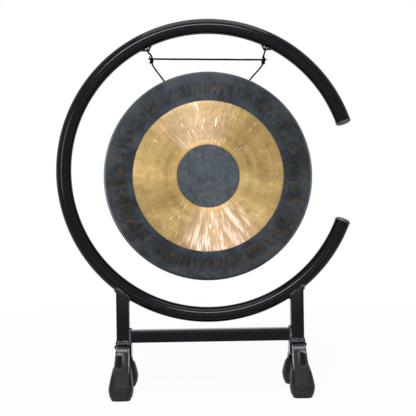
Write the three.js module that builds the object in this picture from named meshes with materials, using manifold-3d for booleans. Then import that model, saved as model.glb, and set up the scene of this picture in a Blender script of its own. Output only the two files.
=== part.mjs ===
// A floor stand for a gong: a C-shaped ring on two posts with saddle feet, and the gong that hangs in it.
// Millimetres, +Z up, the front of the stand faces -Y.
import * as THREE from "three";
import { mergeVertices } from "three/addons/utils/BufferGeometryUtils.js";
import Module from "manifold-3d";

const wasm = await Module();
wasm.setup();

// Clearances and tolerances shared by all pieces
const seatGap = 0.3;
const cutOverrun = 4;
const weldMerge = 0.0005;

// The gong's width and the room round it, which set the ring
const gongDiameter = 464;
const gongRoom = 71;

// Ring of round tube, open at the right between two angles above and below the middle
const ringTube = 33.7;
const ringWall = 2;
const ringOverBar = 15.1;
const openAboveDegrees = 19.3;
const openBelowDegrees = 21.7;
const ringSteps = 72;
const ringSides = 16;
const ringBoreSides = 8;

// Domed plugs in the ring's ends
const capRim = 1.2;
const capRimThickness = 2;
const capDomeRise = 6;
const capPlugLength = 13;
const capPlugGap = 0.7;
const capPlugWall = 2.5;
const capSegments = 20;
const capDomeSteps = 4;

// Square posts and the crossbar between them
const postSide = 28.6;
const postWall = 2;
const postSpacing = 385.4;
const barSide = 27;
const barWall = 2;
const barOverPostEnd = 4;
const tubeCornerRadius = 3;
const cornerSteps = 2;

// Weld beads
const ringBead = 5;
const barBead = 4.5;
const footBead = 5;
const beadPoints = 24;
const beadSides = 6;
const beadBulgeShares = [0.72, 0.62];
const beadWaistShares = [0.3, 0.95];

// Staple eyes inside the ring: the cord hangs on the level run, next to the bend
const eyeRod = 4;
const eyeReach = 131;
const eyeDrop = 6.1;
const eyeBendInset = 3.4;
const eyeLean = 2.8;
const eyeBendRadius = 2.6;
const eyeSteps = 14;
const eyeSides = 8;

// Plated saddle foot, bent from U-channel: a flat crown and two spread legs
const saddleHeight = 102.7;
const saddleCrownHalf = 41;
const saddleCrownWidth = 27.6;
const saddleLegWidth = 34;
const saddleSheet = 2;
const saddleDepth = 24;
const saddleBendRadius = 8;
const saddleLegDegrees = 36;
const saddleInsert = 20.2;
const dimpleLength = 36;
const dimpleWidth = 14;
const dimpleDepth = 1;
const dimpleShift = 5;
const dimpleStart = 12.9;
const dimpleSteps = 8;

// Bent bracket plate between post and saddle
const bracketSheet = 3;
const bracketLength = 33;
const bracketSideGap = 1.8;
const bracketLip = 5;
const bracketTab = 23.3;
const bracketBendRadius = 2.5;

// Bolt, washer and nut that hold each foot
const boltDiameter = 10;
const boltHoleGap = 0.6;
const boltHeadAcross = 17;
const boltHeadHeight = 6.4;
const boltEndStand = 2;
const washerDiameter = 21;
const washerThickness = 2;
const nutHeight = 8;
const roundSides = 20;

// Rubber boots: a level sole, a swollen waist and a rim round the leg
const bootSoleWidth = 39;
const bootSoleDepth = 36;
const bootWaistWidth = 51.4;
const bootWaistDepth = 50;
const bootWaistHeight = 21.7;
const bootWaistShift = 1;
const bootAimHeight = 34;
const bootRimHeight = 60.8;
const bootRimDegrees = 15.4;
const bootWall = 3;
const bootSides = 20;
const bootCornerPower = 3.2;
const bootRimCornerPower = 7;
const bootLowerShares = [0, 0.06, 0.3, 0.65];
const bootLowerSwellShares = [0, 0.12, 0.5, 0.88];
const bootUpperShares = [0, 0.3, 0.65, 0.94, 1];
const bootUpperShrinkShares = [0, 0.2, 0.57, 0.92, 1.04];

// Gong: a shallow dish with a rounded edge and a turned-back rim with two holes
const gongSheet = 1.8;
const gongCrown = 5;
const gongEdgeRadius = 8;
const gongRimDepth = 42;
const gongHoleSetback = 12.5;
const gongHoleDiameter = 8;
const gongHoleDegrees = 24;
const gongSegments = 64;
const gongEdgeSteps = 3;
const gongCrownSteps = 4;

// Cords and the rod that spreads them
const cordDiameter = 3.6;
const cordSides = 8;
const loopSteps = 36;
const fallSteps = 8;
const knotWidth = 7.8;
const knotDepth = 9.8;
const knotHeight = 14.8;
const knotSides = 10;
const stopperDiameter = 10;
const spreaderDiameter = 4;
const spreaderOverhang = 2.2;
const spreaderSides = 10;

// Routes of the cords, chosen by hand, from the middle of each eye's run: inward, back, up
const loopRouteLeft = [
  [8.8, -1.2, -26],
  [9.4, -2.6, -22.5],
  [9.7, -4.1, -18.5],
  [9.6, -3.0, -13.5],
  [6.5, -3.3, -8.5],
  [1.8, -4.0, -3.7],
  [0, -4.1, 0],
  [0, -2.9, 2.9],
  [0, 0, 4.1],
  [0, 2.9, 2.9],
  [0, 4.1, 0],
  [1.8, 4.0, -3.7],
  [6.5, 3.3, -8.5],
  [9.6, 3.0, -13.5],
  [9.7, 4.1, -18.5],
  [9.4, 2.6, -22.5],
  [8.8, 1.2, -26],
];
const loopRouteRight = [
  [5.0, -1.2, -30.5],
  [5.0, -2.6, -26.9],
  [5.0, -4.1, -22.9],
  [4.9, -3.0, -17.9],
  [3.4, -3.3, -12],
  [0.8, -4.0, -4.5],
  [0, -4.1, 0],
  [0, -2.9, 2.9],
  [0, 0, 4.1],
  [0, 2.9, 2.9],
  [0, 4.1, 0],
  [0.8, 4.0, -4.5],
  [3.4, 3.3, -12],
  [4.9, 3.0, -17.9],
  [5.0, 4.1, -22.9],
  [5.0, 2.6, -26.9],
  [5.0, 1.2, -30.5],
];
const fallRouteLeft = [
  [8.4, 0, -25.5],
  [13, 0, -35.7],
];
const fallRouteRight = [
  [5.1, 0, -30.5],
  [9.7, 0, -38.2],
];
const knotLeft = [9.7, 0, -21.9];
const knotRight = [5, 0, -26.4];
const knotLeanDegrees = [17, 0];
const rodEndLeft = [9.7, 0, -18.5];
const rodEndRight = [5, 0, -22.9];
const holeDrop = 69.5;

const up = new THREE.Vector3(0, 0, 1);
const alongY = new THREE.Vector3(0, 1, 0);
const radians = THREE.MathUtils.degToRad;

// Heights of the foot's stack, from the saddle up
const bracketBottom = saddleHeight + seatGap;
const bracketTop = bracketBottom + bracketSheet;
const postBottom = bracketTop + seatGap;
const barHeight = postBottom + barOverPostEnd + barSide / 2;

// The ring stands over the crossbar, with the gong's room inside it
const ringInner = gongDiameter / 2 + gongRoom;
const ringRadius = ringInner + ringTube / 2;
const ringHeight = barHeight + barSide / 2 + ringOverBar + ringTube / 2 + ringRadius;

// The eyes' level, and the gong's rim holes below it
const eyeLevel = ringHeight + Math.sqrt(ringInner * ringInner - eyeReach * eyeReach) - eyeDrop;
const holeLevel = eyeLevel - holeDrop;
const holeTurn = radians(gongHoleDegrees);
const holeRadius = gongDiameter / 2 - gongSheet / 2;
const gongHeight = holeLevel - holeRadius * Math.cos(holeTurn);

// The stopper knots sit in the holes from inside the rim
const stopperReach = stopperDiameter / 2 + seatGap;
const holeHalf = gongHoleDiameter / 2;
const stopperBelow = Math.sqrt(stopperReach * stopperReach - holeHalf * holeHalf);
const stopperRadius = gongDiameter / 2 - gongSheet - stopperBelow;

// The saddle's legs reach past the boots' rims
const legLean = radians(saddleLegDegrees);
const saddleLegLength = (saddleHeight - bootRimHeight) / Math.cos(legLean) + saddleInsert;

// A closed mesh as a solid that can be cut and joined
function solidFrom(geometry) {
  const flat = geometry.index ? geometry.toNonIndexed() : geometry;
  const bare = new THREE.BufferGeometry();
  bare.setAttribute("position", flat.getAttribute("position"));
  const merged = mergeVertices(bare, weldMerge);
  const vertProperties = merged.attributes.position.array;
  const triVerts = new Uint32Array(merged.index.array);
  return new wasm.Manifold(new wasm.Mesh({ numProp: 3, vertProperties, triVerts }));
}

// A solid back as a geometry
function geometryFrom(solid) {
  const mesh = solid.getMesh();
  const geometry = new THREE.BufferGeometry();
  geometry.setAttribute("position", new THREE.BufferAttribute(mesh.vertProperties, 3));
  geometry.setIndex(new THREE.BufferAttribute(mesh.triVerts, 1));
  geometry.computeVertexNormals();
  return geometry;
}

function cut(geometry, ...tools) {
  const solid = tools.reduce((left, tool) => left.subtract(solidFrom(tool)), solidFrom(geometry));
  return geometryFrom(solid);
}

function join(geometry, ...others) {
  const solid = others.reduce((whole, other) => whole.add(solidFrom(other)), solidFrom(geometry));
  return geometryFrom(solid);
}

// Corner points of a polygon, each corner rounded to its own radius
function roundedCorners(corners, radii, steps) {
  const points = [];
  corners.forEach((corner, index) => {
    const radius = Array.isArray(radii) ? radii[index] : radii;
    const before = corners[(index + corners.length - 1) % corners.length];
    const after = corners[(index + 1) % corners.length];
    const back = before.clone().sub(corner).normalize();
    const ahead = after.clone().sub(corner).normalize();
    if (radius === 0) {
      points.push(corner.clone());
      return;
    }
    const half = Math.acos(back.dot(ahead)) / 2;
    const reach = radius / Math.tan(half);
    const centre = back.clone().add(ahead).normalize().multiplyScalar(radius / Math.sin(half)).add(corner);
    const first = back.clone().multiplyScalar(reach).add(corner).sub(centre);
    const last = ahead.clone().multiplyScalar(reach).add(corner).sub(centre);
    const turn = Math.atan2(first.cross(last), first.dot(last));
    for (let step = 0; step <= steps; step++) {
      const spoke = first.clone().rotateAround(new THREE.Vector2(), (turn * step) / steps);
      points.push(spoke.add(centre));
    }
  });
  return points;
}

function rectangle(width, height, radius) {
  const corners = [
    new THREE.Vector2(-width / 2, -height / 2),
    new THREE.Vector2(width / 2, -height / 2),
    new THREE.Vector2(width / 2, height / 2),
    new THREE.Vector2(-width / 2, height / 2),
  ];
  return roundedCorners(corners, radius, cornerSteps);
}

function circle(radius, sides) {
  const points = [];
  for (let index = 0; index < sides; index++) {
    const angle = (2 * Math.PI * index) / sides;
    points.push(new THREE.Vector2(radius * Math.cos(angle), radius * Math.sin(angle)));
  }
  return points;
}

// Hexagon by its width across flats
function hexagon(across) {
  return circle(across / 2 / Math.cos(Math.PI / 6), 6);
}

// An outline pushed up from z = 0, with a hole if an inner outline is given
function prism(outer, depth, inner) {
  const shape = new THREE.Shape(outer);
  if (inner) shape.holes.push(new THREE.Path(inner));
  return new THREE.ExtrudeGeometry(shape, { depth, steps: 1, bevelEnabled: false });
}

// An outline in the plane of Y and Z, pushed along X to both sides of zero
function slabAlongX(outline, width) {
  const geometry = prism(outline, width);
  geometry.translate(0, 0, -width / 2);
  const turn = new THREE.Matrix4().makeBasis(alongY, up, new THREE.Vector3(1, 0, 0));
  return geometry.applyMatrix4(turn);
}

// An outline in the plane of X and Z, pushed along Y to both sides of zero
function slabAlongY(outline, width) {
  const geometry = prism(outline, width);
  geometry.translate(0, 0, -width / 2);
  const turn = new THREE.Matrix4().makeBasis(new THREE.Vector3(1, 0, 0), up, alongY.clone().negate());
  return geometry.applyMatrix4(turn);
}

// A round tube or rod along a path
function sweep(path, radius, sides, steps, boreRadius, boreSides) {
  const shape = new THREE.Shape(circle(radius, sides));
  if (boreRadius) shape.holes.push(new THREE.Path(circle(boreRadius, boreSides)));
  return new THREE.ExtrudeGeometry(shape, { steps, bevelEnabled: false, extrudePath: path });
}

// A skin through rings of points, closed at both ends or round on itself
function loft(rings, closed) {
  const sides = rings[0].length;
  const points = rings.flat();
  const faces = [];
  const bands = closed ? rings.length : rings.length - 1;
  for (let band = 0; band < bands; band++) {
    const low = band * sides;
    const high = ((band + 1) % rings.length) * sides;
    for (let side = 0; side < sides; side++) {
      const next = (side + 1) % sides;
      faces.push(low + side, low + next, high + next);
      faces.push(low + side, high + next, high + side);
    }
  }
  if (!closed) {
    const top = (rings.length - 1) * sides;
    for (let side = 1; side < sides - 1; side++) {
      faces.push(0, side + 1, side);
      faces.push(top, top + side, top + side + 1);
    }
  }
  const geometry = new THREE.BufferGeometry();
  geometry.setAttribute(
    "position",
    new THREE.Float32BufferAttribute(points.flatMap((point) => point.toArray()), 3),
  );
  geometry.setIndex(faces);
  geometry.computeVertexNormals();
  return geometry;
}

// Materials
function blackPaint() {
  return new THREE.MeshStandardMaterial({ color: 0x26272b, roughness: 0.38, metalness: 0.25 });
}

function satinPlastic() {
  return new THREE.MeshStandardMaterial({ color: 0x3d3e40, roughness: 0.5, metalness: 0 });
}

function brightPlate() {
  return new THREE.MeshStandardMaterial({ color: 0x9b9b98, roughness: 0.22, metalness: 1 });
}

function zincPlate() {
  return new THREE.MeshStandardMaterial({ color: 0xa9a9a5, roughness: 0.35, metalness: 1 });
}

function rubber() {
  return new THREE.MeshStandardMaterial({ color: 0x2b2b2d, roughness: 0.75, metalness: 0 });
}

function bronze() {
  return new THREE.MeshStandardMaterial({ color: 0xa87f3f, roughness: 0.35, metalness: 1 });
}

function blackCord() {
  return new THREE.MeshStandardMaterial({ color: 0x121214, roughness: 0.85, metalness: 0 });
}

// The ring's middle line, from its upper end round the left side to its lower end
class RingArc extends THREE.Curve {
  getPoint(share, target = new THREE.Vector3()) {
    const first = radians(openAboveDegrees);
    const last = 2 * Math.PI - radians(openBelowDegrees);
    const angle = first + (last - first) * share;
    return target.set(ringRadius * Math.cos(angle), 0, ringHeight + ringRadius * Math.sin(angle));
  }
}

function ringTubeGeometry() {
  const bore = ringTube / 2 - ringWall;
  return sweep(new RingArc(), ringTube / 2, ringSides, ringSteps, bore, ringBoreSides);
}

// The ring's outside with a gap all round, which cuts what butts against it
function ringEnvelope() {
  return sweep(new RingArc(), ringTube / 2 + seatGap, ringSides, ringSteps);
}

// Height of the ring's lower or inner surface above a place along X
function ringInnerHeight(x) {
  return ringHeight + Math.sqrt(ringInner * ringInner - x * x);
}

// A domed plug, standing on the plane y = 0 with its stem below
function capGeometry() {
  const bore = (ringTube / 2 - ringWall) * Math.cos(Math.PI / ringBoreSides) - capPlugGap;
  const rim = ringTube / 2 + capRim;
  const points = [
    new THREE.Vector2(0, seatGap),
    new THREE.Vector2(bore - capPlugWall, seatGap),
    new THREE.Vector2(bore - capPlugWall, -capPlugLength),
    new THREE.Vector2(bore, -capPlugLength),
    new THREE.Vector2(bore, seatGap),
    new THREE.Vector2(rim, seatGap),
    new THREE.Vector2(rim, seatGap + capRimThickness),
  ];
  for (let step = 0; step <= capDomeSteps; step++) {
    const angle = (Math.PI / 2) * (step / capDomeSteps);
    const radius = (ringTube / 2) * Math.cos(angle);
    points.push(new THREE.Vector2(radius, seatGap + capRimThickness + capDomeRise * Math.sin(angle)));
  }
  points[points.length - 1].x = 0;
  return new THREE.LatheGeometry(points, capSegments);
}

function capMesh(name, angle, outward) {
  const mesh = new THREE.Mesh(capGeometry(), satinPlastic());
  mesh.name = name;
  mesh.position.set(ringRadius * Math.cos(angle), 0, ringHeight + ringRadius * Math.sin(angle));
  mesh.quaternion.setFromUnitVectors(alongY, outward);
  return mesh;
}

// Square tube standing on the bracket, its top coped to the ring
function postGeometry(x) {
  const outer = rectangle(postSide, postSide, tubeCornerRadius);
  const inner = rectangle(postSide - 2 * postWall, postSide - 2 * postWall, 0);
  const tube = prism(outer, ringHeight - postBottom, inner);
  tube.translate(x, 0, postBottom);
  const inside = new THREE.CylinderGeometry(ringRadius, ringRadius, postSide + cutOverrun, ringSteps);
  inside.translate(0, 0, ringHeight);
  return cut(tube, inside, ringEnvelope());
}

function crossbarGeometry() {
  const length = postSpacing - postSide - 2 * seatGap;
  const outer = rectangle(barSide, barSide, tubeCornerRadius);
  const inner = rectangle(barSide - 2 * barWall, barSide - 2 * barWall, 0);
  const tube = prism(outer, length, inner);
  tube.translate(0, 0, -length / 2);
  tube.rotateY(Math.PI / 2);
  tube.translate(0, 0, barHeight);
  return tube;
}

// Weld round the top of a post, laid in the corner between post and ring
function ringWeldGeometry(x) {
  const half = postSide / 2 + seatGap;
  const rings = [];
  for (let point = 0; point < beadPoints; point++) {
    const angle = (-2 * Math.PI * (point + 0.5)) / beadPoints;
    const outward = new THREE.Vector3(Math.cos(angle), Math.sin(angle), 0);
    const stretch = half / Math.max(Math.abs(outward.x), Math.abs(outward.y));
    const place = outward.clone().multiplyScalar(stretch);
    const across = ringTube / 2;
    const rise = ringRadius + Math.sqrt(Math.max(across * across - place.y * place.y, 0));
    const height = ringHeight - Math.sqrt(rise * rise - (x + place.x) * (x + place.x));
    const middle = new THREE.Vector3(x + place.x, place.y, height);
    rings.push(
      circle(ringBead, beadSides).map((spot) =>
        middle.clone().addScaledVector(outward, spot.x).addScaledVector(up, spot.y),
      ),
    );
  }
  const bead = loft(rings, true);
  const envelope = prism(rectangle(2 * half, 2 * half, tubeCornerRadius), ringHeight);
  envelope.translate(x, 0, 0);
  return cut(bead, envelope, ringEnvelope());
}

// Weld in the corner between a tube's side and the flat face that the tube's end meets.
// The tube stands along +Z on the plane z = 0.
function filletWeld(side, size) {
  const rings = [];
  const near = side + 2 * seatGap;
  const far = near + 2 * size;
  const foot = rectangle(near, near, tubeCornerRadius);
  const reach = rectangle(far, far, tubeCornerRadius + size);
  foot.forEach((inside, index) => {
    const outside = reach[index];
    const bulge = inside.clone().lerp(outside, beadBulgeShares[0]);
    const waist = inside.clone().lerp(outside, beadWaistShares[0]);
    rings.push([
      new THREE.Vector3(inside.x, inside.y, seatGap + size),
      new THREE.Vector3(waist.x, waist.y, seatGap + size * beadWaistShares[1]),
      new THREE.Vector3(bulge.x, bulge.y, seatGap + size * beadBulgeShares[1]),
      new THREE.Vector3(outside.x, outside.y, seatGap),
      new THREE.Vector3(inside.x, inside.y, seatGap),
    ]);
  });
  return loft(rings, true);
}

// Lays a piece modelled along +Z onto the inner face of a post, pointing to the other post
function ontoPostFace(geometry, side) {
  geometry.rotateY((-side * Math.PI) / 2);
  geometry.translate(side * (postSpacing / 2 - postSide / 2), 0, barHeight);
  return geometry;
}

// Weld round the crossbar's end, kept off the bracket below it
function barWeldGeometry(side) {
  const weld = ontoPostFace(filletWeld(barSide, barBead), side);
  const below = prism(rectangle(postSpacing, postSide, 0), bracketTop + seatGap);
  return cut(weld, below);
}

// Weld round the post's foot, kept off the crossbar's weld
function footWeldGeometry(side) {
  const weld = filletWeld(postSide, footBead);
  weld.translate((side * postSpacing) / 2, 0, bracketTop);
  const room = barSide + 2 * (barBead + 2 * seatGap);
  const tool = prism(rectangle(room, room, 0), footBead + cutOverrun);
  return cut(weld, ontoPostFace(tool, side));
}

// Bent rod staple: a leg up to the ring and a level run out to it
function eyeGeometry(side) {
  const level = eyeLevel;
  const rise = level - ringHeight;
  const runEnd = Math.sqrt(ringInner * ringInner - rise * rise) + eyeRod;
  const bend = eyeReach - eyeBendInset;
  const root = bend - eyeLean;
  const rootHeight = ringInnerHeight(root) + eyeRod;
  const legStart = new THREE.Vector3(root, 0, rootHeight);
  const corner = new THREE.Vector3(bend, 0, level);
  const legEnd = corner.clone().add(legStart.clone().sub(corner).setLength(eyeBendRadius));
  const runStart = corner.clone().add(new THREE.Vector3(eyeBendRadius, 0, 0));
  const path = new THREE.CurvePath();
  path.add(new THREE.LineCurve3(legStart, legEnd));
  path.add(new THREE.QuadraticBezierCurve3(legEnd, corner, runStart));
  path.add(new THREE.LineCurve3(runStart, new THREE.Vector3(runEnd, 0, level)));
  const rod = sweep(path, eyeRod / 2, eyeSides, eyeSteps);
  if (side < 0) rod.rotateZ(Math.PI);
  return cut(rod, ringEnvelope());
}

// The saddle's side outline at a depth under its outer face: front leg, crown and rear leg
function saddleLine(depth, legLength) {
  const lean = legLean;
  const corner = saddleCrownHalf - depth * Math.tan(Math.PI / 4 - lean / 2);
  const endOut = saddleCrownHalf + legLength * Math.sin(lean) - depth * Math.cos(lean);
  const endHeight = saddleHeight - legLength * Math.cos(lean) - depth * Math.sin(lean);
  return [
    new THREE.Vector2(-endOut, endHeight),
    new THREE.Vector2(-corner, saddleHeight - depth),
    new THREE.Vector2(corner, saddleHeight - depth),
    new THREE.Vector2(endOut, endHeight),
  ];
}

// Band between two depths under the outer face
function saddleBand(near, far, legLength) {
  const bend = Math.max(saddleBendRadius - near, saddleSheet);
  const outer = saddleLine(near, legLength);
  const inner = saddleLine(far, legLength).reverse();
  return roundedCorners([...outer, ...inner], [0, bend, bend, 0, 0, 0, 0, 0], cornerSteps + 1);
}

// Widens a foot piece towards the ends of its legs
function widenDownwards(geometry) {
  const lean = legLean;
  const drop = saddleLegLength * Math.cos(lean);
  const growth = saddleLegWidth / saddleCrownWidth - 1;
  const places = geometry.getAttribute("position");
  for (let index = 0; index < places.count; index++) {
    const share = (saddleHeight - places.getZ(index)) / drop;
    places.setX(index, places.getX(index) * (1 + growth * share));
  }
  return geometry;
}

// Shallow oval dimple pressed into the outer face of one leg
function dimpleTool(side, leg) {
  const half = dimpleWidth / 2;
  const run = dimpleLength / 2 - half;
  const outline = [];
  for (let step = 0; step <= dimpleSteps; step++) {
    const angle = (Math.PI * step) / dimpleSteps;
    outline.push(new THREE.Vector2(half * Math.cos(angle), run + half * Math.sin(angle)));
  }
  for (let step = 0; step <= dimpleSteps; step++) {
    const angle = Math.PI + (Math.PI * step) / dimpleSteps;
    outline.push(new THREE.Vector2(half * Math.cos(angle), -run + half * Math.sin(angle)));
  }
  const tool = prism(outline, dimpleDepth + cutOverrun);
  tool.translate(0, 0, -dimpleDepth);
  const lean = legLean;
  const along = new THREE.Vector3(0, -leg * Math.sin(lean), Math.cos(lean));
  const outward = new THREE.Vector3(0, leg * Math.cos(lean), Math.sin(lean));
  const across = along.clone().cross(outward);
  tool.applyMatrix4(new THREE.Matrix4().makeBasis(across, along, outward));
  const down = dimpleStart + dimpleLength / 2;
  const place = new THREE.Vector3(side * dimpleShift, leg * saddleCrownHalf, saddleHeight);
  place.addScaledVector(along, -down);
  tool.translate(place.x, place.y, place.z);
  return tool;
}

function boltHole(bottom, top) {
  const radius = boltDiameter / 2 + boltHoleGap;
  const hole = prism(circle(radius, roundSides), top - bottom + 2 * cutOverrun);
  hole.translate(0, 0, bottom - cutOverrun);
  return hole;
}

function saddleGeometry(side) {
  const channel = slabAlongX(saddleBand(0, saddleDepth, saddleLegLength), saddleCrownWidth);
  const line = saddleLine(saddleSheet, saddleLegLength + saddleDepth);
  const bend = saddleBendRadius - saddleSheet;
  const hollow = roundedCorners(line, [0, bend, bend, 0], cornerSteps + 1);
  const inside = slabAlongX(hollow, saddleCrownWidth - 2 * saddleSheet);
  const hole = boltHole(saddleHeight - saddleSheet, saddleHeight);
  const body = cut(channel, inside, hole, dimpleTool(side, -1), dimpleTool(side, 1));
  return widenDownwards(body);
}

// Bracket plate with a short lip on the outer side and a tab on the inner side
function bracketGeometry(side) {
  const half = saddleCrownWidth / 2 + bracketSideGap + bracketSheet;
  const inner = half - bracketSheet;
  const corners = [
    new THREE.Vector2(side * half, bracketBottom - bracketLip),
    new THREE.Vector2(side * half, bracketTop),
    new THREE.Vector2(-side * half, bracketTop),
    new THREE.Vector2(-side * half, bracketBottom - bracketTab),
    new THREE.Vector2(-side * inner, bracketBottom - bracketTab),
    new THREE.Vector2(-side * inner, bracketBottom),
    new THREE.Vector2(side * inner, bracketBottom),
    new THREE.Vector2(side * inner, bracketBottom - bracketLip),
  ];
  const bend = bracketBendRadius;
  const outline = roundedCorners(corners, [0, bend, bend, 0, 0, 0, 0, 0], cornerSteps);
  const plate = slabAlongY(outline, bracketLength);
  return cut(plate, boltHole(bracketBottom, bracketTop));
}

// Heights of the fasteners inside the foot
const washerTop = saddleHeight - saddleSheet - seatGap;
const headTop = washerTop - washerThickness - seatGap;
const nutBottom = bracketTop + seatGap;
const boltEnd = nutBottom + nutHeight + boltEndStand;

function boltGeometry() {
  const head = prism(hexagon(boltHeadAcross), boltHeadHeight);
  head.translate(0, 0, headTop - boltHeadHeight);
  const shank = prism(circle(boltDiameter / 2, roundSides), boltEnd - headTop + cutOverrun / 2);
  shank.translate(0, 0, headTop - cutOverrun / 2);
  return join(head, shank);
}

function washerGeometry() {
  const hole = circle(boltDiameter / 2 + seatGap, roundSides);
  const washer = prism(circle(washerDiameter / 2, roundSides), washerThickness, hole);
  washer.translate(0, 0, washerTop - washerThickness);
  return washer;
}

function nutGeometry() {
  const nut = prism(hexagon(boltHeadAcross), nutHeight, circle(boltDiameter / 2 + seatGap, roundSides));
  nut.translate(0, 0, nutBottom);
  return nut;
}

// How far out the middle of a leg's depth is at a height
function legMiddleOut(height) {
  const half = saddleDepth / 2;
  const start = saddleCrownHalf - half * Math.tan(Math.PI / 4 - legLean / 2);
  return start + (saddleHeight - half - height) * Math.tan(legLean);
}

// Width of the saddle at a height
function saddleWidthAt(height) {
  const share = (saddleHeight - height) / (saddleLegLength * Math.cos(legLean));
  return THREE.MathUtils.lerp(saddleCrownWidth, saddleLegWidth, share);
}

// One section across a boot: a rounded square, tipped by an angle towards the front
function bootSection(width, depth, out, height, tip, corner) {
  const power = 2 / corner;
  return circle(1, bootSides).map((spot) => {
    const across = Math.sign(spot.x) * Math.abs(spot.x) ** power;
    const ahead = Math.sign(spot.y) * Math.abs(spot.y) ** power;
    const reach = (ahead * depth) / 2;
    const x = (across * width) / 2;
    return new THREE.Vector3(x, reach * Math.cos(tip) - out, height + reach * Math.sin(tip));
  });
}

// Boot on the front leg: level sole, swollen waist, rim round the leg, socket cut to the leg
function bootGeometry() {
  const mix = THREE.MathUtils.lerp;
  const tilt = radians(bootRimDegrees);
  const rimWidth = saddleWidthAt(bootRimHeight) + 2 * bootWall;
  const rimDepth = saddleDepth / Math.cos(legLean + tilt) + 2 * bootWall;
  const soleOut = legMiddleOut(bootAimHeight);
  const waistOut = soleOut + bootWaistShift;
  const rimOut = legMiddleOut(bootRimHeight);
  const sections = [];
  bootLowerShares.forEach((share, index) => {
    const swell = bootLowerSwellShares[index];
    const width = mix(bootSoleWidth, bootWaistWidth, swell);
    const depth = mix(bootSoleDepth, bootWaistDepth, swell);
    const out = mix(soleOut, waistOut, share);
    sections.push(bootSection(width, depth, out, bootWaistHeight * share, 0, bootCornerPower));
  });
  bootUpperShares.forEach((share, index) => {
    const shrink = bootUpperShrinkShares[index];
    const width = mix(bootWaistWidth, rimWidth, shrink);
    const depth = mix(bootWaistDepth, rimDepth, shrink);
    const height = mix(bootWaistHeight, bootRimHeight, share);
    const corner = mix(bootCornerPower, bootRimCornerPower, share * share);
    sections.push(bootSection(width, depth, mix(waistOut, rimOut, share), height, tilt * share, corner));
  });
  const body = loft(sections, false);
  const band = saddleBand(-seatGap, saddleDepth + seatGap, saddleLegLength + seatGap);
  const socket = widenDownwards(slabAlongX(band, saddleCrownWidth + 2 * seatGap));
  return cut(body, socket);
}

// Half section of the gong, from the middle of its front over the edge to the rim and back inside
function gongProfile() {
  const radius = gongDiameter / 2;
  const front = -gongHoleSetback;
  const outer = [];
  const inner = [];
  const flat = radius - gongEdgeRadius;
  for (let step = 0; step <= gongCrownSteps; step++) {
    const share = step / gongCrownSteps;
    const fall = gongCrown * (1 - share * share);
    outer.push(new THREE.Vector2(flat * share, front - fall));
    inner.push(new THREE.Vector2(flat * share, front - fall + gongSheet));
  }
  for (let step = 1; step <= gongEdgeSteps; step++) {
    const angle = (Math.PI / 2) * (step / gongEdgeSteps);
    const middle = new THREE.Vector2(flat, front + gongEdgeRadius);
    const spoke = new THREE.Vector2(Math.sin(angle), -Math.cos(angle));
    outer.push(middle.clone().addScaledVector(spoke, gongEdgeRadius));
    inner.push(middle.clone().addScaledVector(spoke, gongEdgeRadius - gongSheet));
  }
  const rimEnd = front + gongRimDepth;
  outer.push(new THREE.Vector2(radius, rimEnd));
  inner.push(new THREE.Vector2(radius - gongSheet, rimEnd));
  return [...outer, ...inner.reverse()];
}

function gongGeometry() {
  const dish = new THREE.LatheGeometry(gongProfile(), gongSegments);
  const holes = [-1, 1].map((side) => {
    const hole = prism(circle(gongHoleDiameter / 2, roundSides / 2), 2 * gongEdgeRadius);
    hole.translate(0, 0, gongDiameter / 2 - gongEdgeRadius);
    hole.rotateY(side * holeTurn);
    return hole;
  });
  return cut(dish, ...holes);
}

// Middle of a closed mesh's mass
function massMiddle(geometry) {
  const places = geometry.getAttribute("position");
  const corners = [0, 1, 2].map(() => new THREE.Vector3());
  const middle = new THREE.Vector3();
  let whole = 0;
  for (let index = 0; index < geometry.index.count; index += 3) {
    corners.forEach((corner, offset) => {
      corner.fromBufferAttribute(places, geometry.index.getX(index + offset));
    });
    const [a, b, c] = corners;
    const volume = a.dot(b.clone().cross(c));
    middle.addScaledVector(a.clone().add(b).add(c), volume / 4);
    whole += volume;
  }
  return middle.divideScalar(whole);
}

// The gong hangs on the stopper knots inside its rim holes, with its mass straight below them
function gongMesh() {
  const geometry = gongGeometry();
  const drop = stopperRadius * Math.cos(holeTurn);
  geometry.translate(0, 0, -drop);
  const middle = massMiddle(geometry);
  geometry.rotateX(Math.atan(middle.y / middle.z));
  geometry.translate(0, 0, gongHeight + drop);
  return named("gong", geometry, bronze());
}

function curveThrough(points) {
  return new THREE.CatmullRomCurve3(points, false, "centripetal");
}

// A place given from the middle of an eye's run: inward, back, up
function fromEye(side, [inward, back, rise]) {
  return new THREE.Vector3(side * (eyeReach - inward), back, eyeLevel + rise);
}

// A place on the line through a rim hole, at a distance from the gong's middle
function throughHole(side, radius) {
  return new THREE.Vector3(side * radius * Math.sin(holeTurn), 0, gongHeight + radius * Math.cos(holeTurn));
}

// One cord: looped over the eye, knotted round the rod's end, through the gong's rim to a stopper knot
function cordGeometry(side, loopRoute, fallRoute, knot, leanDegrees) {
  const loopPoints = loopRoute.map((offset) => fromEye(side, offset));
  const fallPoints = fallRoute.map((offset) => fromEye(side, offset));
  const stop = throughHole(side, stopperRadius);
  fallPoints.push(throughHole(side, holeRadius), stop);
  const loop = sweep(curveThrough(loopPoints), cordDiameter / 2, cordSides, loopSteps);
  const fall = sweep(curveThrough(fallPoints), cordDiameter / 2, cordSides, fallSteps);
  const lump = new THREE.SphereGeometry(1, knotSides, knotSides - 2);
  lump.rotateX(Math.PI / 2);
  lump.scale(knotWidth / 2, knotDepth / 2, knotHeight / 2);
  lump.rotateY(radians(leanDegrees));
  const middle = fromEye(side, knot);
  lump.translate(middle.x, middle.y, middle.z);
  const stopper = new THREE.SphereGeometry(stopperDiameter / 2, knotSides, knotSides - 2);
  stopper.translate(stop.x, stop.y, stop.z);
  return cut(join(lump, loop, fall, stopper), spreaderGeometry(spreaderDiameter / 2 + seatGap, cutOverrun));
}

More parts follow.
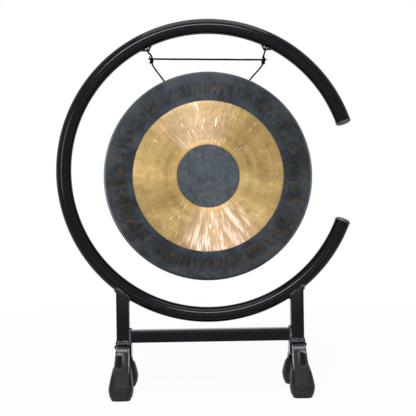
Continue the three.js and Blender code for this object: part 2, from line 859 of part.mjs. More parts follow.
function spreaderGeometry(radius, extra) {
  const left = fromEye(-1, rodEndLeft);
  const right = fromEye(1, rodEndRight);
  const along = right.clone().sub(left);
  const overhang = knotWidth / 2 + spreaderOverhang + extra;
  const rod = prism(circle(radius, spreaderSides), along.length() + 2 * overhang);
  rod.translate(0, 0, -overhang);
  rod.applyQuaternion(new THREE.Quaternion().setFromUnitVectors(up, along.normalize()));
  rod.translate(left.x, left.y, left.z);
  return rod;
}

function named(name, geometry, material) {
  const mesh = new THREE.Mesh(geometry, material);
  mesh.name = name;
  return mesh;
}

// The welded frame
function frameGroup() {
  const group = new THREE.Group();
  const upper = radians(openAboveDegrees);
  const lower = -radians(openBelowDegrees);
  group.add(named("ring_tube", ringTubeGeometry(), blackPaint()));
  group.add(capMesh("ring_cap_upper", upper, new THREE.Vector3(Math.sin(upper), 0, -Math.cos(upper))));
  group.add(capMesh("ring_cap_lower", lower, new THREE.Vector3(-Math.sin(lower), 0, Math.cos(lower))));
  group.add(named("crossbar", crossbarGeometry(), blackPaint()));
  for (const [word, side] of [["left", -1], ["right", 1]]) {
    const x = (side * postSpacing) / 2;
    group.add(named(`post_${word}`, postGeometry(x), blackPaint()));
    group.add(named(`weld_ring_${word}`, ringWeldGeometry(x), blackPaint()));
    group.add(named(`weld_bar_${word}`, barWeldGeometry(side), blackPaint()));
    group.add(named(`weld_foot_${word}`, footWeldGeometry(side), blackPaint()));
    group.add(named(`hanger_eye_${word}`, eyeGeometry(side), blackPaint()));
  }
  return group;
}

// One foot with its fasteners and boots, under the post on that side
function footGroup(word, side) {
  const group = new THREE.Group();
  group.add(named(`foot_bracket_${word}`, bracketGeometry(side), blackPaint()));
  group.add(named(`foot_saddle_${word}`, saddleGeometry(side), brightPlate()));
  group.add(named(`foot_bolt_${word}`, boltGeometry(), zincPlate()));
  group.add(named(`foot_washer_${word}`, washerGeometry(), zincPlate()));
  group.add(named(`foot_nut_${word}`, nutGeometry(), zincPlate()));
  group.add(named(`boot_front_${word}`, bootGeometry(), rubber()));
  group.add(named(`boot_rear_${word}`, bootGeometry().rotateZ(Math.PI), rubber()));
  group.position.x = (side * postSpacing) / 2;
  return group;
}

// Cords and spreader rod, which swing together on the eyes
function hangerGroup() {
  const group = new THREE.Group();
  const left = cordGeometry(-1, loopRouteLeft, fallRouteLeft, knotLeft, knotLeanDegrees[0]);
  const right = cordGeometry(1, loopRouteRight, fallRouteRight, knotRight, knotLeanDegrees[1]);
  group.add(named("cord_left", left, blackCord()));
  group.add(named("cord_right", right, blackCord()));
  group.add(named("spreader_rod", spreaderGeometry(spreaderDiameter / 2, 0), blackPaint()));
  return group;
}

const stand = new THREE.Group();
stand.add(frameGroup());
stand.add(footGroup("left", -1));
stand.add(footGroup("right", 1));
stand.add(hangerGroup());
stand.add(gongMesh());

// The origin is the middle of the outline on the floor
const outline = new THREE.Box3().setFromObject(stand, true);
stand.position.x = -(outline.min.x + outline.max.x) / 2;
stand.position.y = -(outline.min.y + outline.max.y) / 2;

const group = new THREE.Group();
group.add(stand);

export default group;
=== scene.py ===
"""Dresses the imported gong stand: finer forms, materials, studio light and the photograph's camera.

Lengths are in metres, in the part's own frame: +Z up, the front of the stand faces -Y.
"""

import math
from functools import partialmethod

import bmesh
import bpy
from mathutils import Matrix, Vector, noise


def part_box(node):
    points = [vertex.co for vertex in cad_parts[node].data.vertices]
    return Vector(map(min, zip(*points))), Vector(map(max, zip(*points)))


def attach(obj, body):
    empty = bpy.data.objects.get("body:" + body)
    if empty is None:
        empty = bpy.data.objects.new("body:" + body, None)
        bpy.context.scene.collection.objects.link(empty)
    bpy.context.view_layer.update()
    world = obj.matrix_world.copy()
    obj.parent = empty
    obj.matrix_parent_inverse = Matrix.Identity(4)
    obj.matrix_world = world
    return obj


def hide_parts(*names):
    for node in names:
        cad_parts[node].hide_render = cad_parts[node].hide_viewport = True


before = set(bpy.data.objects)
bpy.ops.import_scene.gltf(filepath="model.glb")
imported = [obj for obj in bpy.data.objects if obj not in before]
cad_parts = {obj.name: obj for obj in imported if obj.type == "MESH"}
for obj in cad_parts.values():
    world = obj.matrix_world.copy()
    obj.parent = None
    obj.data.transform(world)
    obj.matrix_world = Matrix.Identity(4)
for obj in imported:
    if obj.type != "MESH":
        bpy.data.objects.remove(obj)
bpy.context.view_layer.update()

MM = 0.001
UP = Vector((0, 0, 1))
RIGHT = Vector((1, 0, 0))
BACK = Vector((0, 1, 0))
SIDES = (("left", -1), ("right", 1))
GAP = 0.3 * MM

# Ring and caps
RING_RADIUS = 319.85 * MM
TUBE_RADIUS = 16.85 * MM
TUBE_WALL = 2 * MM
RING_Z = 489.1 * MM
OPEN_ABOVE = math.radians(19.3)
OPEN_BELOW = math.radians(21.7)
RING_STEPS = 240
RING_SIDES = 48
CAP_CLEARANCE = 0.9 * MM
CAP_FLANGE = 1.2 * MM
CAP_WALL = 2.5 * MM
CAP_PLUG = 13 * MM
CAP_ROUND = 0.5 * MM
CAP_EDGE = 1.3 * MM
CAP_STEP = 2 * MM
CAP_SEAT = 0.1 * MM
CAP_DOME = 6 * MM
DOME_STEPS = 12
DOME_POWER = 0.8
CAP_SEGMENTS = 64

# Posts and crossbar
POST_SIDE = 28.6 * MM
POST_HALF_SPACING = 192.7 * MM
CENTRE_X = (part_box("post_left")[0].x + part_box("post_right")[1].x) / 2
BAR_SIDE = 27 * MM
BAR_Z = 123.8 * MM
SQUARE_WALL = 2 * MM
SQUARE_CORNER = 3 * MM
BORE_CORNER = 1.2 * MM
POST_ROWS = 14
ROD_SIDES = 20

# Welds
WELD_CORNER = 3.5 * MM
WELD_SPACING = 0.9 * MM
FOOT_WELD_SPACING = 0.7 * MM
RING_BEAD = 3.7 * MM
RING_RIPPLE = 3.4 * MM
RING_BEAD_LIFT = 0.2 * MM
RING_BEAD_IN = 0.5 * MM
BAR_BEAD = 3 * MM
BAR_RIPPLE = 3.2 * MM
BAR_BEAD_OUT = 1.2 * MM
BAR_BEAD_GROW = 1 * MM
FOOT_RIPPLE = 2.8 * MM
WEAVE_SWING = 1.5 * MM
WEAVE_PERIOD = 5.6 * MM
# Each row of the foot weld: height, growth of its square and bead radius, in millimetres
FOOT_ROWS = ((2.9, 0.6, 2.3), (7.4, -0.4, 1.9))

# Hanger eyes
EYE_X = 131 * MM
EYE_DROP = 6.1 * MM
EYE_Z = RING_Z + math.sqrt((RING_RADIUS - TUBE_RADIUS) ** 2 - EYE_X**2) - EYE_DROP
EYE_ROD = 2 * MM
EYE_BEND_IN = 3.4 * MM
EYE_ROOT_IN = 2.8 * MM
EYE_SINK = 1 * MM
EYE_TURN = 2.6 * MM
BLOB_SINK = 0.2 * MM
END_BLOB_IN = 5 * MM
ROOT_BLOB = (3.4 * MM, 3.2 * MM, 1.9 * MM)
END_BLOB = (4.4 * MM, 3.2 * MM, 2.5 * MM)

# Saddles, each with a pressed oval in both legs
SADDLE_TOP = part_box("foot_saddle_left")[1].z
LEG_LEAN = math.radians(36)
CROWN_HALF = 41 * MM
CROWN_WIDTH = 27.6 * MM
LEG_WIDTH = 34 * MM
SADDLE_DEPTH = 24 * MM
SADDLE_SHEET = 2 * MM
SADDLE_CORNER = 3.2 * MM
BEND = 11 * MM
INNER_BEND = 4 * MM
OVAL_HALF_WIDTH = 7.6 * MM
OVAL_SHIFT = 5.2 * MM
OVAL_LOW = 12.9 * MM + OVAL_HALF_WIDTH
OVAL_HIGH = 48.9 * MM - OVAL_HALF_WIDTH
OVAL_DEPTH = 1.4 * MM
OVAL_EDGE = 5 * MM
WEB_STEPS = 34
LEG_STEPS = 64
# Where the finish and the painted reflection, shade and highlight change: in from a flank's edge, from
# the oval's outline, up from its foot, by height
FLANK_REFLECTION_FADE = (4 * MM, 11 * MM)
OVAL_FLOOR = (-1 * MM, -2.6 * MM)
OVAL_RIM_MIDDLE = 0.9 * MM
OVAL_RIM = (3.2 * MM, 1.4 * MM)
OVAL_HIGHLIGHT_REACH = (OVAL_HIGH, OVAL_HIGH - 14 * MM)
CROWN_PAINTED_SHEEN_BAND = (SADDLE_TOP - 8.5 * MM, SADDLE_TOP - 2.5 * MM)

# Solids that show in zinc, where no finer piece stands
FASTENERS = ("foot_bolt", "foot_washer", "foot_nut")

# Boots, with some sizes in millimetres as their stations are
RIM_Z = 60.8 * MM
LEG_LENGTH = (SADDLE_TOP - RIM_Z) / math.cos(LEG_LEAN) + 20.2 * MM
RIM_TIP = 15.4
RIM_WIDTH = 38.2
RIM_DEPTH = SADDLE_DEPTH / MM / math.cos(LEG_LEAN + math.radians(RIM_TIP)) + 6
WAIST_WIDTH = 51.3
WAIST_DEPTH = 50
WAIST_Z = 27
BOOT_TOP = 59
RIB_LEVELS = (13.4, 19, 24.6, 30.2)
RIB_HALF = 2
RIB_RELIEF = 1.1 * MM
RIB_DROOP = 5.5 * MM
RIB_TILT = 0.06
RIBBED = (4, 44)
SOCKET_DEPTH = 16 * MM
# The rim's roll inwards: narrower, thinner, nearer, higher, corner power, sunk down the leg
RIM_ROLL = (
    (1, 1, 0.15, 0.5, 7, 0),
    (3.4, 3.4, 0.15, 0.5, 9, 0),
    (4.8, 5, 0, 0, 12, 0),
    (4, 5, 0, 0, 12, SOCKET_DEPTH),
)
SOLE_MIDDLE_Z = 34 * MM
LOW_PAINTED_LIGHT_HEIGHTS = (45 * MM, 4 * MM)
SCUFF_HEIGHT = 12 * MM
BOOT_COLUMNS = 80

# Gong
GONG_Z = 475.6 * MM
GONG_RADIUS = 232 * MM
GONG_FRONT = -12.5 * MM
GONG_CROWN = 5 * MM
GONG_EDGE = 8 * MM
GONG_FLAT = GONG_RADIUS - GONG_EDGE
GONG_SHEET = 1.8 * MM
GONG_RIM_END = 29.5 * MM
PIVOT_Z = 682.72 * MM
GONG_TILT = math.asin((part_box("gong")[1].y - GONG_RIM_END) / (PIVOT_Z - GONG_Z + GONG_RADIUS))
GROOVE_DEPTH = 0.25 * MM
GROOVE_WIDTH = 1.6 * MM
RIM_ROUND = 0.5 * MM
RIM_ROUND_LENGTH = 0.6 * MM
BROAD_WAVE = 0.35 * MM
FINE_WAVE = 0.12 * MM
GONG_SEGMENTS = 320

# Zones of the gong's finish, of its painted highlights and of its lip's painted sheen, by distance from
# its middle
BAND_INNER = 69.9 * MM
BAND_OUTER = 166.9 * MM
RAGGED = 1.6 * MM
HEART_EDGE = (BAND_INNER + 0.5 * MM, BAND_INNER - 0.5 * MM)
BAND_EDGE = (BAND_OUTER - 0.6 * MM, BAND_OUTER + 0.6 * MM)
BAND_LINE = (70.5 * MM, 72.5 * MM, 78 * MM, 83 * MM)
BLOTCHES = (172 * MM, 188 * MM, 201 * MM, 216 * MM)
FLECKS = (196 * MM, 216 * MM, 225.5 * MM, 228 * MM)
HEART_MARKS = (30 * MM, 58 * MM)
FAN_FADE = (90 * MM, 150 * MM)
BACK_EDGE = (226.5 * MM, 225.5 * MM)
LIP = (226.5 * MM, 228.5 * MM)
LIP_DEPTHS = (GONG_FRONT + 9 * MM, GONG_FRONT + 4 * MM)
FACE_DEPTHS = (GONG_FRONT + 1.3 * MM, GONG_FRONT + 0.9 * MM)
FAN_TURN = math.radians(101)

# Cords and rod
CORD = 1.8 * MM
CORD_TAIL = 1.5 * MM
CORD_END = 1.6 * MM
CORD_SIDES = 16
ROD = 2 * MM
ROD_OVERHANG = 6 * MM
ROD_WAVE = 0.1 * MM
HOLE_TURN = math.radians(24)
HOLE_RADIUS = GONG_RADIUS - GONG_SHEET / 2
STOPPER_RADIUS = (PIVOT_Z - GONG_Z) / math.cos(HOLE_TURN)
STOPPER_WIDTH = 1.05 * MM
STOPPER_DEPTH = 1.9 * MM
COIL_START = -6 * MM
COIL_PITCH = 3.1 * MM
COIL_WIDTH = 2.5 * MM
COIL_DEPTH = 3 * MM
COIL_STEPS = 66
STEPS_PER_COIL = 28

# Routes given in millimetres from the middle of each eye's run: inward, back, up.
# A loop goes up in front, over the eye and down behind in the same places.
LOOP_FRONTS = {
    "left": (
        (8.8, -1.2, -26),
        (9.4, -2.6, -22.5),
        (9.7, -4.1, -18.5),
        (9.6, -3, -13.5),
        (6.5, -3.3, -8.5),
        (1.8, -4, -3.7),
        (0, -4.1, 0),
        (0, -2.9, 2.9),
    ),
    "right": (
        (5, -1.2, -30.5),
        (5, -2.6, -26.9),
        (5, -4.1, -22.9),
        (4.9, -3, -17.9),
        (3.4, -3.3, -12),
        (0.8, -4, -4.5),
        (0, -4.1, 0),
        (0, -2.9, 2.9),
    ),
}
LOOP_TOP = (0, 0, 4.1)
FALL_ROUTES = {
    "left": ((8.4, 0, -25.5), (13, 0, -35.7)),
    "right": ((5.1, 0, -30.5), (9.7, 0, -38.2)),
}
ROD_ENDS = {"left": (9.7, 0, -18.5), "right": (5, 0, -22.9)}
KNOTS = {"left": (9.7, 0, -21.9), "right": (5, 0, -26.4)}
KNOT_LEAN = {"left": math.radians(17), "right": 0.0}
# Tails leave the knot, then the rod: outward, forward, up
KNOT_TAIL = ((0.5, 0, -5), (2.9, 1, 0))
ROD_TAIL = {"left": ((3.9, 1, 1), (4.6, 0, 5.2)), "right": ((3.9, 1, 1), (2.4, 0, 5.2))}
# The short end past the stopper: down, beside
END_ROUTE = ((2, 0), (6, 1), (10, 0))

# Camera, light and floor
CAMERA_FROM = Vector((CENTRE_X - 34.4 * MM, -1887 * MM, 392.1 * MM))
FOCAL_PIXELS = 850
IMAGE_PIXELS = 416
AXIS_PIXEL = (193.15, 213.9)
ROLL = math.radians(0.815)
SENSOR_WIDTH = 36
VIEW_RANGE = (0.05, 30)
LIT_PLACE = (0, 0, 0.45)
WHITE = (1.0, 1.0, 1.0)
# Each lamp: place, width, height, watts, colour
LAMPS = {
    "key_light": ((-0.3, -2.3, 1.77), 1.35, 0.62, 56, (0.9, 0.95, 1.0)),
    "side_light": ((-1.5, -2.1, 0.8), 0.5, 0.85, 15, (0.93, 0.96, 1.0)),
    "low_light": ((0.2, -2.3, 0.1), 1.4, 0.25, 3, WHITE),
    "top_light": ((0, -0.3, 2.3), 1.6, 1.4, 28, WHITE),
}
SURROUND_LIGHT = 0.12
FLOOR_REACH = 12
FLOOR_FADE = (0.5, 2.2)


# Mesh helpers


def ring_faces(count, sides, closed):
    """Quads that join rings of points in order, with flat ends unless closed."""
    faces = []
    for band in range(count if closed else count - 1):
        low = band * sides
        high = ((band + 1) % count) * sides
        for side in range(sides):
            after = (side + 1) % sides
            faces.append((low + side, low + after, high + after, high + side))
    if not closed:
        faces.append(tuple(reversed(range(sides))))
        faces.append(tuple(range((count - 1) * sides, count * sides)))
    return faces


def skin(rings, closed=False):
    """Vertices and faces of a skin through rings of points."""
    points = [point for ring in rings for point in ring]
    return points, ring_faces(len(rings), len(rings[0]), closed)


def hollow(shell, outer, inner):
    """A skin with a bore: the outer rings, then back through the inner ones."""
    return skin([*shell(*outer), *reversed(shell(*inner))], closed=True)


def add_object(name, data):
    """An object in the scene."""
    obj = bpy.data.objects.new(name, data)
    bpy.context.scene.collection.objects.link(obj)
    return obj


def add_piece(name, parts, material, body, nodes=(), turned=30):
    """One smooth piece from one or more (vertices, faces) pairs, riding on its body."""
    vertices, faces = [], []
    for points, quads in parts:
        start = len(vertices)
        vertices.extend(tuple(point) for point in points)
        faces.extend(tuple(start + index for index in quad) for quad in quads)
    mesh = bpy.data.meshes.new(name)
    mesh.from_pydata(vertices, [], faces)
    face_outward(mesh)
    obj = add_object(name, mesh)
    mesh.shade_smooth()
    if turned:
        mesh.set_sharp_from_angle(angle=math.radians(turned))
    mesh.materials.append(material)
    if nodes:
        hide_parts(*nodes)
    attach(obj, body)
    return obj


def face_outward(mesh):
    """Turns every face of closed skins outwards."""
    work = bmesh.new()
    work.from_mesh(mesh)
    bmesh.ops.recalc_face_normals(work, faces=work.faces)
    work.to_mesh(mesh)
    work.free()
    mesh.update()


def circle(radius, sides):
    """Points of a circle as (x, y) pairs."""
    turn = 2 * math.pi / sides
    return [(radius * math.cos(turn * i), radius * math.sin(turn * i)) for i in range(sides)]


def rounded_square(side, radius, steps, flats):
    """Outline of a rounded square, with points along its flats too."""
    inner = side / 2 - radius
    points = []
    for corner in range(4):
        middle = math.radians(45 + 90 * corner)
        cx = math.copysign(inner, math.cos(middle))
        cy = math.copysign(inner, math.sin(middle))
        for step in range(steps + 1):
            angle = math.radians(90 * corner + 90 * step / steps)
            points.append((cx + radius * math.cos(angle), cy + radius * math.sin(angle)))
        last = Vector(points[-1])
        turn = math.radians(90 * corner + 90)
        ahead = Vector((-math.sin(turn), math.cos(turn)))
        for step in range(1, flats):
            points.append(tuple(last + ahead * (2 * inner * step / flats)))
    return points


def frames_along(points, closed=False):
    """Tangent, side and up vectors at each point, carried along without twist."""
    count = len(points)
    tangents = []
    for i in range(count):
        before = points[(i - 1) % count] if closed or i else points[i]
        after = points[(i + 1) % count] if closed or i < count - 1 else points[i]
        tangents.append((after - before).normalized())
    side = tangents[0].orthogonal().normalized()
    result = []
    for tangent in tangents:
        side = (side - tangent * side.dot(tangent)).normalized()
        result.append((tangent, side, tangent.cross(side)))
    return result


def hoop(middle, side, lift, radius, sides):
    """Points of a circle round a place."""
    return [middle + side * x + lift * y for x, y in circle(radius, sides)]


def distances(points):
    """How far along a path each of its points is."""
    result = [0.0]
    for before, after in zip(points, points[1:]):
        result.append(result[-1] + (after - before).length)
    return result


def tube(points, radius, sides, round_ends=False):
    """A tube along points, with flat or domed ends."""
    frames = frames_along(points)
    pairs = zip(points, frames)
    rings = [hoop(point, side, lift, radius, sides) for point, (_, side, lift) in pairs]
    if round_ends:
        rings = dome(rings[0], points[0], -frames[0][0])[::-1] + rings
        rings += dome(rings[-1], points[-1], frames[-1][0])
    return skin(rings)


def dome(ring, middle, outward, steps=4):
    """Rings that close a tube's end with a dome."""
    radius = (ring[0] - middle).length
    rings = []
    for step in range(1, steps):
        angle = math.pi / 2 * step / steps
        centre = middle + outward * (radius * math.sin(angle))
        rings.append([centre + (point - middle) * math.cos(angle) for point in ring])
    return rings


def lathe(profile, segments, origin, axis):
    """A skin turned about an axis from (radius, height) pairs that start and end on it."""
    axis = Vector(axis).normalized()
    side = axis.orthogonal().normalized()
    lift = axis.cross(side)
    origin = Vector(origin)
    points, faces, rows = [], [], []
    for radius, height in profile:
        middle = origin + axis * height
        row = hoop(middle, side, lift, radius, segments) if radius > 0 else [middle]
        rows.append(range(len(points), len(points) + len(row)))
        points += row
    for low, high in zip(rows, rows[1:]):
        for i in range(segments):
            j = (i + 1) % segments
            if len(low) == 1:
                faces.append((low[0], high[j], high[i]))
            elif len(high) == 1:
                faces.append((low[i], low[j], high[0]))
            else:
                faces.append((low[i], low[j], high[j], high[i]))
    return points, faces


def curve_through(points, per_span):
    """Points on a smooth centripetal curve through the given points."""
    ends = [points[0] * 2 - points[1]] + points + [points[-1] * 2 - points[-2]]
    result = []
    for i in range(1, len(ends) - 2):
        p0, p1, p2, p3 = ends[i - 1 : i + 3]
        t0 = 0.0
        t1 = t0 + math.sqrt((p1 - p0).length)
        t2 = t1 + math.sqrt((p2 - p1).length)
        t3 = t2 + math.sqrt((p3 - p2).length)
        for step in range(per_span):
            t = t1 + (t2 - t1) * step / per_span
            a1 = p0.lerp(p1, (t - t0) / (t1 - t0))
            a2 = p1.lerp(p2, (t - t1) / (t2 - t1))
            a3 = p2.lerp(p3, (t - t2) / (t3 - t2))
            b1 = a1.lerp(a2, (t - t0) / (t2 - t0))
            b2 = a2.lerp(a3, (t - t1) / (t3 - t1))
            result.append(b1.lerp(b2, (t - t1) / (t2 - t1)))
    result.append(points[-1])
    return result


# Material helpers


class Nodes:
    """A node tree of a material or a world, built by short calls."""

    def __init__(self, owner, shader):
        owner.use_nodes = True
        self.tree = owner.node_tree
        self.shader = self.tree.nodes[shader]

    def node(self, kind, *values, **named):
        """A new node, with its first inputs or its named ones given."""
        node = self.tree.nodes.new("ShaderNode" + kind)
        for socket, value in [*enumerate(values), *named.items()]:
            self.put(node, socket, value)
        return node

    def put(self, node, socket, value):
        """Links a value that is a socket, or sets it."""
        target = node.inputs[socket]
        if isinstance(value, bpy.types.NodeSocket):
            self.tree.links.new(value, target)
        elif isinstance(value, (tuple, list)) and len(value) == 3 and target.type == "RGBA":
            target.default_value = (*value, 1.0)
        else:
            target.default_value = value

    def set(self, **values):
        """Sets the shader's inputs, with underscores for spaces."""
        for name, value in values.items():
            self.put(self.shader, name.replace("_", " "), value)

    def calculate(self, operation, first, second=0.0):
        node = self.node("Math", first, second)
        node.operation = operation
        return node.outputs[0]

    plus = partialmethod(calculate, "ADD")
    minus = partialmethod(calculate, "SUBTRACT")
    over = partialmethod(calculate, "DIVIDE")
    larger = partialmethod(calculate, "MAXIMUM")
    smaller = partialmethod(calculate, "MINIMUM")
    size = partialmethod(calculate, "ABSOLUTE")

    def times(self, first, *others):
        for other in others:
            first = self.calculate("MULTIPLY", first, other)
        return first

    def inverse(self, share):
        return self.minus(1.0, share)

    def vector(self, operation, first, second=(0.0, 0.0, 0.0)):
        node = self.node("VectorMath", first, second)
        node.operation = operation
        return node.outputs["Value" if operation in ("LENGTH", "DOT_PRODUCT") else "Vector"]

    def split(self, vector):
        return self.node("SeparateXYZ", vector).outputs

    def combine(self, *values):
        return self.node("CombineXYZ", *values).outputs[0]

    def noise(self, vector, scale, detail=3.0, roughness=0.5, distortion=0.0):
        kind = {"Scale": scale, "Detail": detail, "Roughness": roughness, "Distortion": distortion}
        return self.node("TexNoise", Vector=vector, **kind).outputs[0]

    def between(self, value, low, high, out_low=0.0, out_high=1.0, smooth=False):
        """A value mapped from one range to another and held at its ends."""
        node = self.node("MapRange", value, low, high, out_low, out_high)
        node.interpolation_type = "SMOOTHSTEP" if smooth else "LINEAR"
        return node.outputs[0]

    def zone(self, value, limits, smooth=False):
        """1 between the two middle limits, fading to 0 at the outer ones."""
        start, full, fading, end = limits
        rise = self.between(value, start, full, smooth=smooth)
        return self.times(rise, self.between(value, end, fading, smooth=smooth))

    def mix(self, share, first, second):
        node = self.node("Mix")
        node.data_type = "RGBA"
        self.put(node, 0, share)
        self.put(node, 6, first)
        self.put(node, 7, second)
        return node.outputs[2]

    def layers(self, colour, *layers):
        """A colour with others laid over it, each by its share."""
        for share, *over in layers:
            colour = self.mix(share, colour, srgb(*over))
        return colour

    def bump(self, height, distance, strength=1.0):
        node = self.node("Bump", Height=height, Distance=distance, Strength=strength)
        self.set(Normal=node.outputs[0])

    def seen_rays(self):
        """1 on camera, glossy and transmission rays, which all see the white surround."""
        rays = self.node("LightPath").outputs
        total = rays["Is Camera Ray"]
        for name in ("Is Glossy Ray", "Is Transmission Ray"):
            total = self.larger(total, rays[name])
        return total


class Look(Nodes):
    """A new material's node tree, which knows places and directions on the piece."""

    def __init__(self, name):
        self.material = bpy.data.materials.new(name)
        super().__init__(self.material, "Principled BSDF")
        coordinates = self.node("TexCoord")
        self.place = coordinates.outputs["Object"]
        self.facing = coordinates.outputs["Normal"]

    def finished(self, **values):
        """The material, with the shader's inputs set."""
        self.set(**values)
        return self.material


def srgb(red, green, blue):
    """A screen colour from 0 to 255 as a linear colour."""
    result = []
    for value in (red, green, blue):
        share = value / 255
        low = share / 12.92
        high = ((share + 0.055) / 1.055) ** 2.4
        result.append(low if share <= 0.04045 else high)
    return tuple(result)


# Materials


def black_paint():
    """Semi-gloss black powder coat with a fine orange-peel texture."""
    n = Look("black_powder_coat")
    patches = n.noise(n.place, 30, 4)
    peel = n.noise(n.place, 900, 2, 0.6)
    colour = n.mix(patches, srgb(4, 4, 9), srgb(8, 8, 14))
    n.bump(peel, 0.1 * MM, 0.18)
    rough = n.between(patches, 0.3, 0.7, 0.1, 0.15)
    return n.finished(Base_Color=colour, Roughness=rough, Metallic=0.0, Specular_IOR_Level=0.13)


def rod_coating():
    """Matt black plastic dipped over the thin rod."""
    n = Look("rod_matt_coating")
    grain = n.noise(n.place, 900, 2, 0.6)
    colour = n.mix(grain, srgb(3, 3, 5), srgb(9, 9, 12))
    n.bump(grain, 0.1 * MM, 0.2)
    return n.finished(Base_Color=colour, Roughness=0.6, Specular_IOR_Level=0.02)


def weld_paint():
    """The same powder coat over a weld, with spatter and ripple, and a painted highlight on its lumps'
    tops, duller high up.
    """
    n = Look("black_weld_bead")
    lumps = n.noise(n.place, 420, 3, 0.6)
    # Painted highlight on the lumps' tops, paler on the low welds at the foot than high up
    low_down = n.between(n.split(n.place)[2], 0.2, 0.12)
    lump_painted_highlight = n.mix(low_down, srgb(26, 26, 31), srgb(78, 81, 94))
    colour = n.mix(n.between(lumps, 0.44, 0.6, smooth=True), srgb(14, 14, 17), lump_painted_highlight)
    n.bump(lumps, 0.8 * MM, 0.6)
    return n.finished(Base_Color=colour, Roughness=0.2, Metallic=0.0, Specular_IOR_Level=0.5)


def cap_plastic():
    """Satin black plastic with moulding grain."""
    n = Look("cap_satin_plastic")
    grain = n.noise(n.place, 1600, 2, 0.7)
    colour = n.mix(n.noise(n.place, 60, 2), srgb(52, 53, 55), srgb(66, 67, 69))
    n.bump(grain, 0.1 * MM, 0.5)
    return n.finished(Base_Color=colour, Roughness=0.48)


def flank_painted_reflection(n, y, below):
    """Painted reflection: cream on the channel's flanks, with painted shade that greys them away from
    the outer edge.
    """
    out = n.minus(n.size(y), CROWN_HALF)
    leg_depth = n.minus(n.times(below, math.sin(LEG_LEAN)), n.times(out, math.cos(LEG_LEAN)))
    inward = n.smaller(n.larger(leg_depth, 0.0), below)
    share = n.between(inward, *FLANK_REFLECTION_FADE, smooth=True)
    return n.mix(share, srgb(190, 189, 176), srgb(96, 95, 88))


def oval_marks(n, x, below):
    """Shares of a pressed oval's floor, its whole rim, and the rim's upper part, for the oval's painted
    shade and highlight.
    """
    across = n.minus(n.size(n.minus(x, CENTRE_X)), POST_HALF_SPACING + OVAL_SHIFT)
    along = n.over(below, math.cos(LEG_LEAN))
    beyond = n.minus(along, n.smaller(n.larger(along, OVAL_LOW), OVAL_HIGH))
    rim = n.minus(n.vector("LENGTH", n.combine(across, beyond, 0.0)), OVAL_HALF_WIDTH)
    floor = n.between(rim, *OVAL_FLOOR, smooth=True)
    on_rim = n.between(n.size(n.minus(rim, OVAL_RIM_MIDDLE)), *OVAL_RIM, smooth=True)
    return floor, on_rim, n.between(along, *OVAL_HIGHLIGHT_REACH)


def bright_plate():
    """Dark bright plating, with a painted cream reflection on the flanks, a duller crown band with a
    painted sheen, and painted shade and highlight round the oval.
    """
    n = Look("saddle_bright_plate")
    smear = n.noise(n.vector("MULTIPLY", n.place, (260.0, 260.0, 30.0)), 1.0, 3)
    x, y, z = n.split(n.place)
    below = n.minus(SADDLE_TOP, z)
    flank = n.between(n.size(n.split(n.facing)[0]), 0.8, 0.97)
    floor, on_rim, upper = oval_marks(n, x, below)
    # A duller, rougher band at the crown's top, whose pale colour is a painted sheen
    matt_crown_painted_sheen = n.between(z, *CROWN_PAINTED_SHEEN_BAND, smooth=True)
    colour = n.mix(n.noise(n.place, 90, 4, 0.6), srgb(43, 43, 46), srgb(58, 58, 60))
    # The flanks' cream is a painted reflection, greyed by painted shade further in
    colour = n.mix(flank, colour, flank_painted_reflection(n, y, below))
    # Painted shade in the oval's floor and on its lower rim, and a painted highlight on its upper rim
    colour = n.layers(
        colour,
        (floor, 30, 30, 33),
        (n.times(on_rim, upper, 0.7), 84, 84, 80),
        (n.times(on_rim, n.inverse(upper), 0.8), 40, 40, 42),
        (n.times(matt_crown_painted_sheen, n.inverse(flank)), 92, 92, 97),
    )
    dulled = n.larger(n.times(matt_crown_painted_sheen, 0.6), flank)
    sheen = n.between(smear, 0.3, 0.7, 0.1, 0.18)
    rough = n.between(n.larger(dulled, on_rim), 0.0, 1.0, sheen, 0.5)
    metal = n.between(dulled, 0.0, 1.0, 1.0, 0.5)
    n.bump(smear, 0.06 * MM, 0.4)
    return n.finished(Base_Color=colour, Roughness=rough, Metallic=metal)


def zinc_plate():
    """Bright zinc on the bolts, nuts and washers."""
    n = Look("zinc_fasteners")
    cloud = n.noise(n.place, 220, 4, 0.6)
    colour = n.mix(cloud, srgb(150, 150, 148), srgb(196, 195, 190))
    rough = n.between(cloud, 0.3, 0.7, 0.24, 0.42)
    return n.finished(Base_Color=colour, Roughness=rough, Metallic=1.0)


def rubber():
    """Matt black rubber with a bloom, painted light that pales it towards the floor, and scuffs near
    the floor.
    """
    n = Look("boot_rubber")
    bloom = n.noise(n.place, 55, 4, 0.6)
    height = n.split(n.place)[2]
    # Painted light: paler towards the floor, as if lit from low in front
    low_painted_light = n.between(height, *LOW_PAINTED_LIGHT_HEIGHTS, 0.0, 0.75, smooth=True)
    scuffs = n.between(n.noise(n.place, 240, 4), 0.5, 0.7)
    scuffed = n.times(n.between(height, 0.0, SCUFF_HEIGHT, 0.6, 0.0), scuffs)
    colour = n.mix(bloom, srgb(15, 15, 18), srgb(24, 23, 27))
    colour = n.layers(colour, (low_painted_light, 41, 40, 45), (scuffed, 74, 72, 69))
    n.bump(n.noise(n.place, 1300, 3, 0.7), 0.18 * MM, 0.6)
    rough = n.between(bloom, 0.3, 0.7, 0.36, 0.5)
    return n.finished(Base_Color=colour, Roughness=rough, Specular_IOR_Level=0.14)


def braided_cord():
    """Black braided cord: crossing rows of strands on the piece's own UV map."""
    n = Look("cord_braid")
    uv = n.node("UVMap")
    uv.uv_map = "along"
    u, v, _ = n.split(uv.outputs[0])
    around = n.times(u, 4 * math.pi)
    ahead = n.times(v, 2600)
    one = n.calculate("SINE", n.plus(around, ahead))
    weave = n.times(one, n.calculate("SINE", n.minus(around, ahead)))
    fuzz = n.noise(n.place, 2200, 2)
    colour = n.mix(n.between(weave, -0.6, 0.9), srgb(3, 3, 4), srgb(15, 15, 17))
    n.bump(n.plus(weave, fuzz), 0.25 * MM, 0.7)
    return n.finished(Base_Color=colour, Roughness=0.72, Specular_IOR_Level=0.03)


